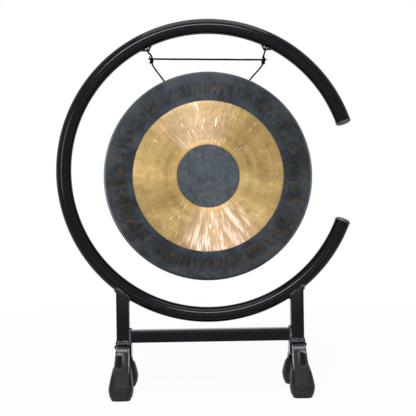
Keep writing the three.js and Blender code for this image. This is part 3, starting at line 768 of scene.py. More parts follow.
class GongLook(Look):
    """A look that also knows places on the tilted gong."""

    def __init__(self, name):
        super().__init__(name)
        hang = Matrix.Rotation(GONG_TILT, 3, "X") @ Vector((0, 0, GONG_Z - PIVOT_Z))
        middle = Vector((CENTRE_X, 0, PIVOT_Z)) + hang
        self.away = self.vector("SUBTRACT", self.place, tuple(middle))
        x, self.back, z = self.split(self.away)
        self.rise = self.over(z, math.cos(GONG_TILT))
        self.radius = self.vector("LENGTH", self.combine(x, 0.0, self.rise))
        self.ring_x = self.over(x, self.radius)
        self.ring_z = self.over(self.rise, self.radius)
        self.cloud = self.noise(self.away, 26.0, 4.0, 0.6)
        self.fine_rays = self.rays(34.0, 26.0, 7.0)
        self.broad_rays = self.rays(11.0, 16.0, 4.0)
        self.lathe_lines = self.circles(420.0, 0.0, 3)

    def rays(self, fineness, depth, offset, detail=3.0):
        """Noise drawn out along the radius."""
        place = self.combine(
            self.times(self.ring_x, fineness),
            self.plus(self.times(self.radius, depth), offset),
            self.times(self.ring_z, fineness),
        )
        return self.noise(place, 1.0, detail, 0.6)

    def circles(self, fineness, offset, detail):
        """Noise drawn out round the middle."""
        place = self.combine(self.times(self.radius, fineness), offset, 0.0)
        return self.noise(place, 1.0, detail)


def fan_share(n):
    """Where the two opposite fans of painted highlight lie."""
    ring = n.combine(n.ring_x, 0.0, n.ring_z)
    way = n.vector("DOT_PRODUCT", ring, (math.cos(FAN_TURN), 0.0, math.sin(FAN_TURN)))
    return n.between(n.size(way), 0.74, 0.96, smooth=True)


def gold_colour(n):
    """Turned gold with a line at the inner edge, and painted light: fans of painted highlight streaks,
    painted shade over the upper fan, darker painted rays in the fans, and painted glints.
    """
    sectors = n.between(n.rays(2.2, 6.0, 1.0), 0.35, 0.65)
    lines = n.plus(n.times(n.lathe_lines, 0.5), n.times(n.circles(90.0, 3.0, 2), 0.5))
    patches = n.between(n.rays(5.0, 3.0, 31.0), 0.42, 0.6, 0.2, 0.7)
    fan = fan_share(n)
    level = n.between(n.ring_z, -0.3, 0.3, 1.0, n.between(n.radius, *FAN_FADE, 0.6, 0.1))
    both_rays = n.plus(n.times(n.broad_rays, 0.5), n.times(n.fine_rays, 0.5))
    glints = n.between(n.rays(26.0, 30.0, 51.0, 2.0), 0.65, 0.7)
    far_out = n.between(n.size(n.ring_z), 0.3, 0.8, 0.1, 0.7)
    return n.layers(
        n.mix(sectors, srgb(156, 131, 83), srgb(184, 156, 102)),
        (n.between(n.cloud, 0.46, 0.66, 0.0, 0.7), 130, 109, 69),
        (n.times(n.between(lines, 0.44, 0.6), patches), 126, 100, 60),
        # Painted highlight: the two fans' pale tint and bright streaks
        (n.times(fan, level, 0.6), 172, 144, 118),
        (n.times(fan, n.between(both_rays, 0.5, 0.6), level, 0.9), 226, 196, 180),
        # Painted shade that tones down the upper fan, and darker painted rays within the fans
        (n.times(fan, n.between(n.ring_z, 0.3, 0.7), 0.6), 118, 97, 78),
        (n.times(fan, n.between(n.broad_rays, 0.46, 0.36, 0.0, 0.55)), 142, 112, 78),
        # Painted glints, mostly high and low on the band
        (n.times(glints, far_out), 246, 224, 204),
        (n.times(n.zone(n.radius, BAND_LINE), 0.45), 180, 146, 84),
    )


def slate_colour(n):
    """Slate oxide with rusty blotches drawn out along the radius, scuffs and flecks."""
    slate = n.mix(n.between(n.cloud, 0.38, 0.62), srgb(31, 36, 40), srgb(52, 57, 62))
    rays = n.between(n.rays(25.0, 12.0, 11.0), 0.4, 0.6)
    blotches = n.times(n.zone(n.radius, BLOTCHES, smooth=True), rays, 0.88)
    rusty = n.between(n.noise(n.away, 60.0, 3.0, 0.6), 0.48, 0.66)
    scuffs = n.between(n.noise(n.away, 140.0, 4.0, 0.7, 1.2), 0.56, 0.66)
    spots = n.between(n.rays(34.0, 80.0, 2.0), 0.58, 0.66)
    low_down = n.between(n.ring_z, 0.4, -0.5, 0.1, 0.4)
    return n.layers(
        n.mix(blotches, slate, n.mix(rusty, srgb(22, 20, 13), srgb(68, 52, 28))),
        (n.times(scuffs, 0.2), 84, 90, 94),
        (n.times(n.zone(n.radius, FLECKS), spots, low_down), 112, 76, 40),
    )


def heart_colour(n):
    """The paler slate centre, with brown marks and scratches."""
    patch = n.between(n.noise(n.away, 80.0, 4.0, 0.6), 0.35, 0.65)
    marks = n.between(n.rays(15.0, 60.0, 21.0), 0.56, 0.68)
    scratches = n.between(n.noise(n.away, 170.0, 5.0, 0.7, 2.4), 0.56, 0.64)
    return n.layers(
        n.mix(patch, srgb(57, 62, 66), srgb(76, 82, 86)),
        (n.times(n.between(n.radius, *HEART_MARKS), marks, 0.7), 60, 52, 40),
        (n.times(scratches, 0.45), 44, 47, 50),
    )


def face_share(n):
    """1 on the gong's crowned front face, 0 behind it."""
    flat = n.plus(n.back, n.times(n.rise, math.tan(GONG_TILT)))
    crown = n.inverse(n.calculate("POWER", n.over(n.radius, GONG_FLAT), 2.0))
    return n.between(n.plus(flat, n.times(crown, GONG_CROWN)), *FACE_DEPTHS)


def gong_bronze():
    """Oxidised slate outer zone and centre, with a lathed golden band between, and a painted pale sheen
    on the lip.
    """
    n = GongLook("gong_bronze_patina")
    edge = n.plus(n.radius, n.times(n.minus(n.fine_rays, 0.5), RAGGED))
    in_heart = n.between(edge, *HEART_EDGE)
    past_band = n.between(edge, *BAND_EDGE)
    behind = n.inverse(face_share(n))
    # Painted reflection: a pale sheen on the rounded lip, strongest low down and faint at the top
    lip_painted_sheen = n.times(n.between(n.radius, *LIP), n.between(n.back, *LIP_DEPTHS, 0.0, 0.75))
    lip_painted_sheen = n.times(lip_painted_sheen, n.between(n.ring_z, 0.7, 0.1, 0.2, 1.0))

    colour = n.mix(past_band, gold_colour(n), slate_colour(n))
    colour = n.mix(in_heart, colour, heart_colour(n))
    back = n.mix(n.between(n.cloud, 0.4, 0.65), srgb(48, 46, 42), srgb(84, 70, 48))
    colour = n.mix(n.times(behind, n.between(n.radius, *BACK_EDGE)), colour, back)
    colour = n.mix(lip_painted_sheen, colour, srgb(126, 136, 128))

    streaks = n.plus(n.times(n.fine_rays, 0.6), n.times(n.broad_rays, 0.9))
    n.bump(n.plus(streaks, n.times(n.lathe_lines, 0.25)), 0.6 * MM, 0.4)
    dull = n.larger(n.larger(in_heart, past_band), behind)
    tangent = n.node("Tangent")
    tangent.direction_type = "RADIAL"
    tangent.axis = "Y"
    return n.finished(
        Base_Color=colour,
        Roughness=n.between(dull, 0.0, 1.0, 0.36, 0.55),
        Metallic=n.between(dull, 0.0, 1.0, 1.0, 0.1),
        Anisotropic=0.75,
        Anisotropic_Rotation=0.25,
        Specular_IOR_Level=0.15,
        Tangent=tangent.outputs[0],
    )


# The ring


def ring_point(angle):
    """A place on the ring tube's middle line."""
    x = CENTRE_X + RING_RADIUS * math.cos(angle)
    return Vector((x, 0, RING_Z + RING_RADIUS * math.sin(angle)))


def build_ring(paint):
    """The bent tube with its bore, cut square at both ends."""
    first, last = OPEN_ABOVE, 2 * math.pi - OPEN_BELOW

    def shell(radius):
        rings = []
        for step in range(RING_STEPS + 1):
            angle = first + (last - first) * step / RING_STEPS
            outward = Vector((math.cos(angle), 0, math.sin(angle)))
            rings.append(hoop(ring_point(angle), outward, BACK, radius, RING_SIDES))
        return rings

    points, faces = hollow(shell, (TUBE_RADIUS,), (TUBE_RADIUS - TUBE_WALL,))
    # The order of a face's corners decides the diagonal that splits it
    part = (points, [face[::-1] for face in faces])
    add_piece("ring_tube_bent", [part], paint, "frame", ["ring_tube"])


def build_cap(word, angle, turned, plastic):
    """A domed plug: hollow shank, thin flange, step and dome."""
    outward = Vector((-math.sin(angle) * turned, 0, math.cos(angle) * turned))
    shank = TUBE_RADIUS - TUBE_WALL - CAP_CLEARANCE
    flange = TUBE_RADIUS + CAP_FLANGE
    top = GAP + CAP_STEP
    profile = [(0, GAP), (shank - CAP_WALL, GAP), (shank - CAP_WALL, -CAP_PLUG)]
    profile += [(shank, -CAP_PLUG), (shank, GAP), (flange - CAP_ROUND, GAP)]
    profile += [(flange, GAP + CAP_ROUND), (flange, GAP + CAP_EDGE), (flange - CAP_ROUND, top)]
    profile += [(TUBE_RADIUS + CAP_SEAT, top)]
    for step in range(DOME_STEPS):
        turn = math.pi / 2 * step / DOME_STEPS
        radius = TUBE_RADIUS * math.cos(turn) ** DOME_POWER
        profile.append((radius, top + CAP_DOME * math.sin(turn)))
    profile.append((0, top + CAP_DOME))
    part = lathe(profile, CAP_SEGMENTS, ring_point(angle), outward)
    add_piece(
        "cap_domed_" + word, [part], plastic, "frame", ["ring_cap_" + word], turned=35
    )


# Posts and crossbar


def post_middle(side):
    """Where a post stands across the width."""
    return CENTRE_X + side * POST_HALF_SPACING


def ring_underside(x, y, extra=0.0):
    """Height of the ring's outer lower surface over a place."""
    reach = TUBE_RADIUS + extra
    radius = RING_RADIUS + math.sqrt(max(reach * reach - y * y, 0))
    return RING_Z - math.sqrt(max(radius * radius - (x - CENTRE_X) ** 2, 0))


def build_post(side, word, paint):
    """Square tube with rounded corners, its top fishmouthed to the ring."""
    middle = post_middle(side)
    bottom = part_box("post_" + word)[0].z

    def shell(width, corner):
        ends = []
        for x, y in rounded_square(width, corner, 8, 8):
            top = ring_underside(middle + x, y, GAP)
            ends.append((Vector((middle + x, y, bottom)), Vector((middle + x, y, top))))
        shares = [row / POST_ROWS for row in range(POST_ROWS + 1)]
        return [[low.lerp(high, share) for low, high in ends] for share in shares]

    part = hollow(shell, (POST_SIDE, SQUARE_CORNER), (POST_SIDE - 2 * SQUARE_WALL, BORE_CORNER))
    add_piece(
        "post_coped_" + word, [part], paint, "frame", ["post_" + word], turned=40
    )


def build_crossbar(paint):
    """Square tube between the posts."""
    low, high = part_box("crossbar")

    def shell(width, corner):
        outline = rounded_square(width, corner, 8, 4)
        return [[Vector((x, u, BAR_Z + v)) for u, v in outline] for x in (low.x, high.x)]

    part = hollow(shell, (BAR_SIDE, SQUARE_CORNER), (BAR_SIDE - 2 * SQUARE_WALL, BORE_CORNER))
    add_piece("crossbar_tube", [part], paint, "frame", ["crossbar"], turned=40)


# Welds and hanger eyes


def woven(path, swing, period):
    """A path that swings up and down as a hand-laid weave."""
    result = []
    for point, travelled in zip(path, distances(path)):
        share = travelled / period % 1
        result.append(point + UP * (swing * (4 * abs(share - 0.5) - 1)))
    return result


def bead(path, radius, ripple, lump, seed, sides=12):
    """A closed weld bead along a path: ripples laid one on the next, with uneven lumps."""
    rings = []
    for point, travelled, (_, side, lift) in zip(path, distances(path), frames_along(path, True)):
        wave = abs(math.sin(math.pi * travelled / ripple))
        ring = []
        for out in hoop(Vector(), side, lift, 1, sides):
            rough = noise.noise((point + out * radius) * 260 + Vector((seed, 0, 0)))
            ring.append(point + out * (radius * (0.8 + 0.24 * wave + lump * rough)))
        rings.append(ring)
    return skin(rings, closed=True)


def dense_square(side, spacing):
    """Outline of a weld's rounded square with evenly close points."""
    flats = max(2, round((side - 2 * WELD_CORNER) / spacing))
    steps = max(2, round(WELD_CORNER * math.pi / 2 / spacing))
    return rounded_square(side, WELD_CORNER, steps, flats)


def build_welds(side, word, look):
    """Beads at the ring, at the crossbar's end and round the post's foot."""
    middle = post_middle(side)

    def add_weld(place, beads):
        name = place + "_" + word
        add_piece("weld_bead_" + name, beads, look, "frame", ["weld_" + name])

    path = []
    for x, y in dense_square(POST_SIDE - RING_BEAD_IN, WELD_SPACING):
        height = ring_underside(middle + x, y) + RING_BEAD_LIFT
        path.append(Vector((middle + x, y, height)))
    add_weld("ring", [bead(path, RING_BEAD, RING_RIPPLE, 0.5, 3 + side)])

    x = middle - side * POST_SIDE / 2 - side * BAR_BEAD_OUT
    outline = dense_square(BAR_SIDE + BAR_BEAD_GROW, WELD_SPACING)
    path = [Vector((x, u, BAR_Z + v)) for u, v in outline]
    add_weld("bar", [bead(path, BAR_BEAD, BAR_RIPPLE, 0.55, 8 + side)])

    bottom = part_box("foot_bracket_" + word)[1].z
    beads = []
    for lift, grow, size in FOOT_ROWS:
        outline = dense_square(POST_SIDE + grow * MM, FOOT_WELD_SPACING)
        path = [Vector((middle + x, y, bottom + lift * MM)) for x, y in outline]
        path = woven(path, WEAVE_SWING, WEAVE_PERIOD)
        beads.append(bead(path, size * MM, FOOT_RIPPLE, 0.5, 15 + side + lift))
    add_weld("foot", beads)


def ring_inside(x):
    """Height of the ring's inner surface at a distance from its middle."""
    inner = RING_RADIUS - TUBE_RADIUS
    return RING_Z + math.sqrt(inner * inner - x * x)


def eye_path(root_x, end_x):
    """The eye's rod from its root inside the ring, round a bend and out to its other end."""
    corner = Vector((EYE_X - EYE_BEND_IN, 0, EYE_Z))
    top = Vector((root_x, 0, ring_inside(root_x) + EYE_SINK))
    above = corner + (top - corner).normalized() * EYE_TURN
    beside = corner + RIGHT * EYE_TURN
    path = [top.lerp(above, i / 6) for i in range(6)]
    for i in range(9):
        t = i / 8
        path.append(above.lerp(corner, t).lerp(corner.lerp(beside, t), t))
    return path + [beside.lerp(Vector((end_x, 0, EYE_Z)), i / 8) for i in range(1, 9)]


def build_eye(side, word, paint, look):
    """Bent rod welded at both ends inside the ring."""
    root_x = EYE_X - EYE_BEND_IN - EYE_ROOT_IN
    end_x = math.sqrt((RING_RADIUS - TUBE_RADIUS) ** 2 - (EYE_Z - RING_Z) ** 2) + EYE_SINK
    path = [Vector((CENTRE_X + side * p.x, p.y, p.z)) for p in eye_path(root_x, end_x)]
    rod = tube(path, EYE_ROD, ROD_SIDES)
    blobs = []
    for x, size in ((root_x, ROOT_BLOB), (end_x - END_BLOB_IN, END_BLOB)):
        middle = Vector((CENTRE_X + side * x, 0, ring_inside(x) - BLOB_SINK))
        blobs.append(blob(middle, size, 30 + side))
    node = "hanger_eye_" + word
    add_piece("hanger_eye_rod_" + word, [rod], paint, "frame", [node])
    add_piece("hanger_eye_weld_" + word, blobs, look, "frame")


def blob(middle, size, seed, rows=12, sides=18):
    """A small uneven lump."""
    rings = []
    for row in range(1, rows):
        tilt = math.pi * row / rows - math.pi / 2
        ring = []
        for x, y in circle(math.cos(tilt), sides):
            out = Vector((x, y, math.sin(tilt)))
            grow = 1 + 0.3 * noise.noise(out * 2.2 + Vector((seed, 0, 0)))
            ring.append(middle + out * Vector(size) * grow)
        rings.append(ring)
    return skin(rings)


# Saddles


def bend_point(corner, radius, slip, angle):
    """A place on the bend that rounds a corner of the saddle's side view."""
    middle = corner + Vector((0, -radius * slip, -radius))
    return middle + Vector((0, math.sin(angle), math.cos(angle))) * radius


def rear_columns():
    """Saddle columns from the crown's middle to the rear leg's end.

    Each is an outer point, an inner point and the way along the leg, or -1 before it.
    """
    down = Vector((0, math.sin(LEG_LEAN), -math.cos(LEG_LEAN)))
    inward = Vector((0, -math.cos(LEG_LEAN), -math.sin(LEG_LEAN)))
    slip = math.tan(math.pi / 4 - LEG_LEAN / 2)
    corner = Vector((0, CROWN_HALF, SADDLE_TOP))
    corner_in = corner + Vector((0, -SADDLE_DEPTH * slip, -SADDLE_DEPTH))
    end = corner + down * LEG_LENGTH
    end_in = end + inward * SADDLE_DEPTH
    columns = []
    for i in range(13):
        outer = Vector((0, 0, SADDLE_TOP)).lerp(corner + Vector((0, -BEND * slip, 0)), i / 12)
        start_in = corner_in + Vector((0, -INNER_BEND * slip, 0))
        columns.append((outer, Vector((0, 0, corner_in.z)).lerp(start_in, i / 12), -1.0))
    for i in range(1, 11):
        angle = (math.pi / 2 - LEG_LEAN) * i / 10
        outer = bend_point(corner, BEND, slip, angle)
        columns.append((outer, bend_point(corner_in, INNER_BEND, slip, angle), -1.0))
    last_outer, last_inner, _ = columns[-1]
    for i in range(1, LEG_STEPS + 1):
        outer = last_outer.lerp(end, i / LEG_STEPS)
        inner = last_inner.lerp(end_in, i / LEG_STEPS)
        columns.append((outer, inner, (outer - corner).length))
    return columns


def saddle_columns():
    """All the saddle's columns, from the front leg's end to the rear leg's."""
    rear = rear_columns()
    turned = Matrix.Diagonal((1, -1, 1))
    front = [(turned @ outer, turned @ inner, along) for outer, inner, along in reversed(rear[1:])]
    return front + rear


def oval_depth(x, along, side):
    """How far the pressed oval dents the web at a place on a leg."""
    if along < 0:
        return 0.0
    nearest = min(max(along, OVAL_LOW), OVAL_HIGH)
    distance = math.hypot(x - side * OVAL_SHIFT, along - nearest) - OVAL_HALF_WIDTH
    share = min(max(0.5 - distance / OVAL_EDGE, 0), 1)
    return OVAL_DEPTH * share * share * (3 - 2 * share)


def saddle_section():
    """The channel's section: share of the web's half width, shift, depth, and whether it is web."""
    radius = SADDLE_CORNER
    inside = radius - SADDLE_SHEET
    wall = SADDLE_DEPTH - radius
    outer, inner = [], []
    for i in range(1, 6):
        angle = math.pi / 2 * i / 5
        outer.append((1, radius * math.sin(angle), radius * (1 - math.cos(angle)), False))
    for i in range(1, 7):
        outer.append((1, radius, radius + wall * i / 6, False))
    for i in range(6):
        inner.append((1, inside, SADDLE_DEPTH - wall * i / 6, False))
    for i in range(5):
        angle = math.pi / 2 * i / 5
        inner.append((1, inside * math.cos(angle), radius - inside * math.sin(angle), False))

    def mirrored(points):
        return [(-share, -shift, depth, web) for share, shift, depth, web in reversed(points)]

    shares = [-1 + 2 * i / WEB_STEPS for i in range(WEB_STEPS + 1)]
    section = [(share, 0, 0, True) for share in shares] + outer + inner
    section += [(-share, 0, SADDLE_SHEET, True) for share in shares]
    return section + mirrored(inner) + mirrored(outer)


def build_saddle(side, word, plate):
    """U-channel bent over a crown into two spread legs, each with a pressed oval."""
    middle = post_middle(side)
    drop = LEG_LENGTH * math.cos(LEG_LEAN)
    section = saddle_section()
    rings = []
    for outer, inner, along in saddle_columns():
        into = inner - outer
        ring = []
        for x_share, x_shift, depth, web in section:
            place = outer + into * (depth / SADDLE_DEPTH)
            share = (SADDLE_TOP - place.z) / drop
            half = CROWN_WIDTH / 2 * (1 + (LEG_WIDTH / CROWN_WIDTH - 1) * share)
            x = x_share * (half - SADDLE_CORNER) + x_shift
            if web:
                place = place + into.normalized() * oval_depth(x, along, side)
            ring.append(Vector((middle + x, place.y, place.z)))
        rings.append(ring)
    name, node = "saddle_channel_" + word, "foot_saddle_" + word
    add_piece(name, [skin(rings)], plate, "frame", [node], turned=50)


# Boots


def leg_middle_out(height):
    """How far out the middle of a leg's depth is at a height, in millimetres."""
    half = SADDLE_DEPTH / 2
    start = CROWN_HALF - half * math.tan(math.pi / 4 - LEG_LEAN / 2)
    return (start + (SADDLE_TOP - half - height) * math.tan(LEG_LEAN)) / MM


SOLE_OUT = leg_middle_out(SOLE_MIDDLE_Z)
RIM_OUT = leg_middle_out(RIM_Z)


def upper_station(rise, shrink, corner):
    """A boot section between the waist and the rim."""
    width = WAIST_WIDTH + (RIM_WIDTH - WAIST_WIDTH) * shrink
    depth = WAIST_DEPTH + (RIM_DEPTH - WAIST_DEPTH) * shrink
    out = SOLE_OUT + 1 + (RIM_OUT - SOLE_OUT - 1) * rise
    return (width, depth, out, WAIST_Z + (BOOT_TOP - WAIST_Z) * rise, RIM_TIP * rise, corner)


BOOT_STATIONS = (
    # width, depth, out, height, tip in degrees, corner power
    (39.4, 36.4, SOLE_OUT, 0, 0, 3.6),
    (40.6, 37.6, SOLE_OUT, 0.5, 0, 3.6),
    (43.4, 40.4, SOLE_OUT + 0.1, 3.6, 0, 3.5),
    (47.8, 45.8, SOLE_OUT + 0.4, 10.5, 0, 3.4),
    (50.6, 49.2, SOLE_OUT + 0.8, 18.5, 0, 3.3),
    upper_station(0, 0, 3.3),
    upper_station(0.2, 0.1, 3.3),
    upper_station(0.45, 0.3, 3.7),
    upper_station(0.72, 0.56, 4.6),
    upper_station(0.9, 0.76, 5.6),
    upper_station(0.975, 0.93, 6.5),
    upper_station(1, 1.03, 7),
)


def stations_between(stations, per_span):
    """Stations eased through the given ones."""
    rows = [Vector(station) for station in stations]
    result = []
    for i in range(len(rows) - 1):
        before, after = rows[max(i - 1, 0)], rows[min(i + 2, len(rows) - 1)]
        for step in range(per_span):
            result.append(hermite(before, rows[i], rows[i + 1], after, step / per_span))
    return [*result, rows[-1]]


def hermite(before, first, second, after, t):
    """A smooth step from first to second."""
    lead = (second - before) * 0.5
    trail = (after - first) * 0.5
    t2, t3 = t * t, t * t * t
    return (
        first * (2 * t3 - 3 * t2 + 1)
        + lead * (t3 - 2 * t2 + t)
        + second * (3 * t2 - 2 * t3)
        + trail * (t3 - t2)
    )


def rib_height(level):
    """Relief of the boot's moulded ribs at a level."""
    height = 0.0
    for middle in RIB_LEVELS:
        away = abs(level / MM - middle) / RIB_HALF
        if away < 1:
            height += (1 - away * away) ** 2
    return height * RIB_RELIEF


def boot_section(width, depth, out, height, tip, corner, ribbed=False, sink=0.0):
    """A ring of a rear boot's points, measured from the middle of its saddle."""
    ring = []
    power = 2 / corner
    tip = math.radians(tip)
    down = Vector((0, math.sin(LEG_LEAN), -math.cos(LEG_LEAN))) * sink
    for cx, cy in circle(1, BOOT_COLUMNS):
        across = math.copysign(abs(cx) ** power, cx)
        ahead = math.copysign(abs(cy) ** power, cy)
        reach = -ahead * depth * MM / 2
        level = height * MM - reach * math.sin(tip)
        grow = 0.0
        if ribbed:
            grow = rib_height(level + RIB_DROOP * abs(across) ** 3 + reach * RIB_TILT)
        x = across * width * MM / 2 + grow * cx
        y = reach * math.cos(tip) + out * MM - grow * cy
        ring.append(Vector((x, y, level)) + down)
    return ring


def boot_rings():
    """A rear boot's rings: flat sole, swollen ribbed waist, rim round the leg and a socket."""
    rings = []
    for values in stations_between(BOOT_STATIONS, 9):
        rings.append(boot_section(*values, ribbed=RIBBED[0] < values[3] < RIBBED[1]))
    width, depth, out, height, tip, _ = BOOT_STATIONS[-1]
    for narrower, thinner, nearer, higher, corner, sink in RIM_ROLL:
        sizes = (width - narrower, depth - thinner, out - nearer, height + higher)
        rings.append(boot_section(*sizes, tip, corner, sink=sink))
    return rings


def build_boot(side, word, name, rubber_look):
    """A rubber boot, turned round at the front."""
    middle = post_middle(side)
    turned = -1 if name == "front" else 1
    rings = [[Vector((middle + p.x, turned * p.y, p.z)) for p in ring] for ring in boot_rings()]
    place = f"{name}_{word}"
    parts = [skin(rings)]
    add_piece(
        "rubber_boot_" + place, parts, rubber_look, "frame", ["boot_" + place], turned=50
    )


# Gong


def gong_profile():
    """Front from the middle out, over the edge, along the rim and back inside."""
    outer, inner = [], []
    for i in range(91):
        radius = GONG_FLAT * i / 90
        fall = GONG_CROWN * (1 - (radius / GONG_FLAT) ** 2)
        groove = 0.0
        for edge in (BAND_INNER, BAND_OUTER):
            groove += GROOVE_DEPTH * math.exp(-(((radius - edge) / GROOVE_WIDTH) ** 2))
        outer.append((radius, GONG_FRONT - fall + groove))
        inner.append((radius, GONG_FRONT - fall + GONG_SHEET))
    turn_back = GONG_FRONT + GONG_EDGE
    for i in range(1, 13):
        angle = math.pi / 2 * i / 12
        for line, size in ((outer, GONG_EDGE), (inner, GONG_EDGE - GONG_SHEET)):
            line.append((GONG_FLAT + size * math.sin(angle), turn_back - size * math.cos(angle)))
    for i in range(1, 9):
        height = turn_back + (GONG_RIM_END - RIM_ROUND_LENGTH - turn_back) * i / 8
        outer.append((GONG_RADIUS, height))
        inner.append((GONG_RADIUS - GONG_SHEET, height))
    outer.append((GONG_RADIUS - RIM_ROUND, GONG_RIM_END))
    inner.append((GONG_RADIUS - GONG_SHEET + RIM_ROUND, GONG_RIM_END))
    return [*outer, *reversed(inner)]


def build_gong(bronze):
    """The beaten dish, hung at the tilt at which it rests, with faint hammer waves."""
    points, faces = lathe(gong_profile(), GONG_SEGMENTS, (CENTRE_X, 0, GONG_Z), BACK)
    hang = Matrix.Translation((0, 0, PIVOT_Z)) @ Matrix.Rotation(GONG_TILT, 4, "X")
    hang = hang @ Matrix.Translation((0, 0, -PIVOT_Z))
    moved = []
    for point in points:
        flat = Vector((point.x - CENTRE_X, point.z - GONG_Z, 0))
        wave = noise.noise(flat * 38) * BROAD_WAVE + noise.noise(flat * 120) * FINE_WAVE
        moved.append(hang @ (point + BACK * wave))
    add_piece("gong_beaten_dish", [(moved, faces)], bronze, "gong", ["gong"], turned=60)


# Cords and spreader rod


def from_eye(side, offset):
    """A place given from the middle of an eye's run."""
    inward, back, rise = Vector(offset) * MM
    return Vector((CENTRE_X + side * (EYE_X - inward), back, EYE_Z + rise))


def through_hole(side, radius):
    """A place on the line through a rim hole."""
    x = side * radius * math.sin(HOLE_TURN)
    return Vector((CENTRE_X + x, 0, GONG_Z + radius * math.cos(HOLE_TURN)))


def cord_run(points, radius=CORD):
    """A length of cord, with a (round, along) pair for each vertex."""
    places, faces = tube(points, radius, CORD_SIDES, round_ends=True)
    travelled = distances(points)
    extra = (len(places) // CORD_SIDES - len(points)) // 2
    steps = [travelled[0]] * extra + travelled + [travelled[-1]] * extra
    marks = [(side / CORD_SIDES, step) for step in steps for side in range(CORD_SIDES)]
    return places, faces, marks


def add_cord(name, runs, look, node):
    """Cord runs as one piece, with the UV map that its braid follows."""
    parts = [(places, faces) for places, faces, _ in runs]
    mesh = add_piece(name, parts, look, "hanger", [node], turned=0).data
    marks = [mark for _, _, run_marks in runs for mark in run_marks]
    layer = mesh.uv_layers.new(name="along")
    for polygon in mesh.polygons:
        pairs = [marks[mesh.loops[i].vertex_index] for i in polygon.loop_indices]
        most = max(u for u, _ in pairs)
        for i, (u, v) in zip(polygon.loop_indices, pairs):
            layer.data[i].uv = (u + 1 if most - u > 0.5 else u, v)


def loop_route(side, word):
    """The loop's places: up in front, over the eye and down behind."""
    front = LOOP_FRONTS[word]
    behind = [(inward, -back, rise) for inward, back, rise in reversed(front)]
    return [from_eye(side, offset) for offset in (*front, LOOP_TOP, *behind)]


def hitch(side, word):
    """The cord's wraps round its own loop, and the tail that sticks up past the rod."""
    lean = KNOT_LEAN[word]
    inward = RIGHT * -side
    axis = UP * math.cos(lean) + inward * math.sin(lean)
    across = axis.cross(BACK).normalized()
    knot = from_eye(side, KNOTS[word])
    coil = []
    for i in range(COIL_STEPS):
        angle = 2 * math.pi * i / STEPS_PER_COIL
        middle = knot + axis * (COIL_START + COIL_PITCH * i / STEPS_PER_COIL)
        turned = across * (COIL_WIDTH * math.cos(angle)) + BACK * (COIL_DEPTH * math.sin(angle))
        coil.append(middle + turned)
    route = []
    rod = from_eye(side, ROD_ENDS[word])
    for start, lift, places in ((knot, axis, KNOT_TAIL), (rod, UP, ROD_TAIL[word])):
        for out, ahead, rise in places:
            route.append(start + (lift * rise - inward * out - BACK * ahead) * MM)
    return [cord_run(coil), cord_run(curve_through(route, 6), CORD_TAIL)]


def stopper_knot(stop, down):
    """An overhand knot behind the rim, with the short end that hangs from it."""
    beside = down.cross(BACK).normalized()
    twist = []
    for i in range(61):
        t = 2 * math.pi * i / 60
        x = math.sin(t) + 2 * math.sin(2 * t)
        y = math.cos(t) - 2 * math.cos(2 * t)
        flat = (beside * x + BACK * y) * STOPPER_WIDTH
        twist.append(stop + flat - down * (STOPPER_DEPTH * math.sin(3 * t)))
    end = [stop + (down * drop + beside * aside) * MM for drop, aside in END_ROUTE]
    return [cord_run(twist), cord_run(end, CORD_END)]


def build_cord(side, word, look):
    """One cord: looped over the eye, hitched under the rod, through the rim to a stopper knot."""
    loop = cord_run(curve_through(loop_route(side, word), 8))
    hole, stop = through_hole(side, HOLE_RADIUS), through_hole(side, STOPPER_RADIUS)
    fall_route = [from_eye(side, offset) for offset in FALL_ROUTES[word]] + [hole, stop]
    fall = cord_run(curve_through(fall_route, 12))
    stopper = stopper_knot(stop, (stop - hole).normalized())
    runs = [loop, *hitch(side, word), fall, *stopper]
    add_cord("cord_hitched_" + word, runs, look, "cord_" + word)


def build_spreader(look):
    """The thin rod that holds the cords apart, not quite straight, with rounded ends."""
    left, right = from_eye(-1, ROD_ENDS["left"]), from_eye(1, ROD_ENDS["right"])
    along = (right - left).normalized()
    points = []
    for i in range(81):
        place = left.lerp(right, i / 80) - along * ROD_OVERHANG * (1 - i / 40)
        points.append(place + UP * (ROD_WAVE * math.sin(i / 80 * math.pi * 7)))
    part = tube(points, ROD, ROD_SIDES, round_ends=True)
    add_piece("spreader_rod_wire", [part], look, "hanger", ["spreader_rod"], turned=0)


# Camera, light and floor


def build_camera():
    """The photograph's view: low, a little left of the ring's middle, and slightly rolled."""
    data = bpy.data.cameras.new("camera")
    data.sensor_fit = "HORIZONTAL"
    data.sensor_width = SENSOR_WIDTH
    data.lens = SENSOR_WIDTH * FOCAL_PIXELS / IMAGE_PIXELS
    data.clip_start, data.clip_end = VIEW_RANGE
    camera = add_object("camera", data)
    half = IMAGE_PIXELS / 2
    yaw = math.atan((half - AXIS_PIXEL[0]) / FOCAL_PIXELS)
    pitch = math.atan((AXIS_PIXEL[1] - half) / FOCAL_PIXELS)
    turn = Matrix.Rotation(-yaw, 4, "Z") @ Matrix.Rotation(math.pi / 2 + pitch, 4, "X")
    turn = turn @ Matrix.Rotation(-ROLL, 4, "Z")
    camera.matrix_world = Matrix.Translation(CAMERA_FROM) @ turn
    bpy.context.scene.camera = camera


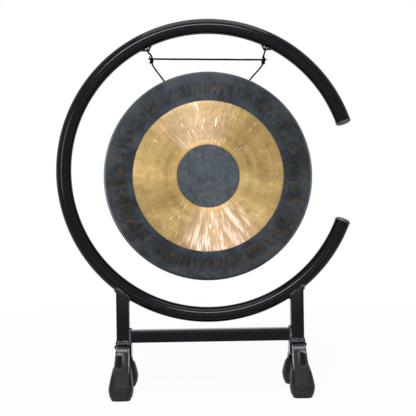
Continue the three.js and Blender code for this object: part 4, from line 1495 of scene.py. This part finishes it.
def add_area(name, place, width, height, watts, colour):
    """A soft rectangular light that faces the stand."""
    data = bpy.data.lights.new(name, "AREA")
    data.shape = "RECTANGLE"
    data.size = width
    data.size_y = height
    data.energy = watts
    data.color = colour
    light = add_object(name, data)
    light.location = place
    way = Vector(LIT_PLACE) - Vector(place)
    light.rotation_euler = way.to_track_quat("-Z", "Y").to_euler()


def build_light():
    """Soft boxes and a pale surround."""
    for name, lamp in LAMPS.items():
        add_area(name, *lamp)
    world = bpy.data.worlds.new("studio")
    n = Nodes(world, "Background")
    n.set(Color=WHITE, Strength=n.between(n.seen_rays(), 0.0, 1.0, SURROUND_LIGHT, 1.0))
    bpy.context.scene.world = world


def build_floor():
    """A plain pale floor that fades into the white surround."""
    mesh = bpy.data.meshes.new("floor")
    corners = ((-1, -1), (1, -1), (1, 1), (-1, 1))
    mesh.from_pydata([(x * FLOOR_REACH, y * FLOOR_REACH, 0) for x, y in corners], [], [(0, 1, 2, 3)])
    floor = add_object("floor", mesh)
    n = Look("pale_floor")
    grain = n.noise(n.place, 3, 2)
    n.set(Base_Color=n.mix(grain, (0.7, 0.7, 0.7), (0.74, 0.74, 0.74)), Roughness=0.8)
    white = n.node("Emission", Strength=1.0)
    share = n.between(n.vector("LENGTH", n.place), *FLOOR_FADE, 0.95, 1.0)
    both = n.node("MixShader", n.times(n.seen_rays(), share), n.shader.outputs[0], white.outputs[0])
    n.put(n.tree.nodes["Material Output"], "Surface", both.outputs[0])
    mesh.materials.append(n.material)


build_camera()
build_light()
build_floor()

paint = black_paint()
weld = weld_paint()
plastic = cap_plastic()
plate = bright_plate()
zinc = zinc_plate()
boot_rubber = rubber()
cord_look = braided_cord()

build_ring(paint)
build_cap("upper", OPEN_ABOVE, -1, plastic)
build_cap("lower", -OPEN_BELOW, 1, plastic)
for word, side in SIDES:
    build_post(side, word, paint)
build_crossbar(paint)
for word, side in SIDES:
    build_welds(side, word, weld)
    build_eye(side, word, paint, weld)
    build_saddle(side, word, plate)
    for name in ("front", "rear"):
        build_boot(side, word, name, boot_rubber)
    build_cord(side, word, cord_look)
build_spreader(rod_coating())
build_gong(gong_bronze())

for name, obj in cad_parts.items():
    obj.data.materials.clear()
    obj.data.materials.append(zinc if name.startswith(FASTENERS) else paint)

bpy.context.scene.view_settings.view_transform = "Standard"
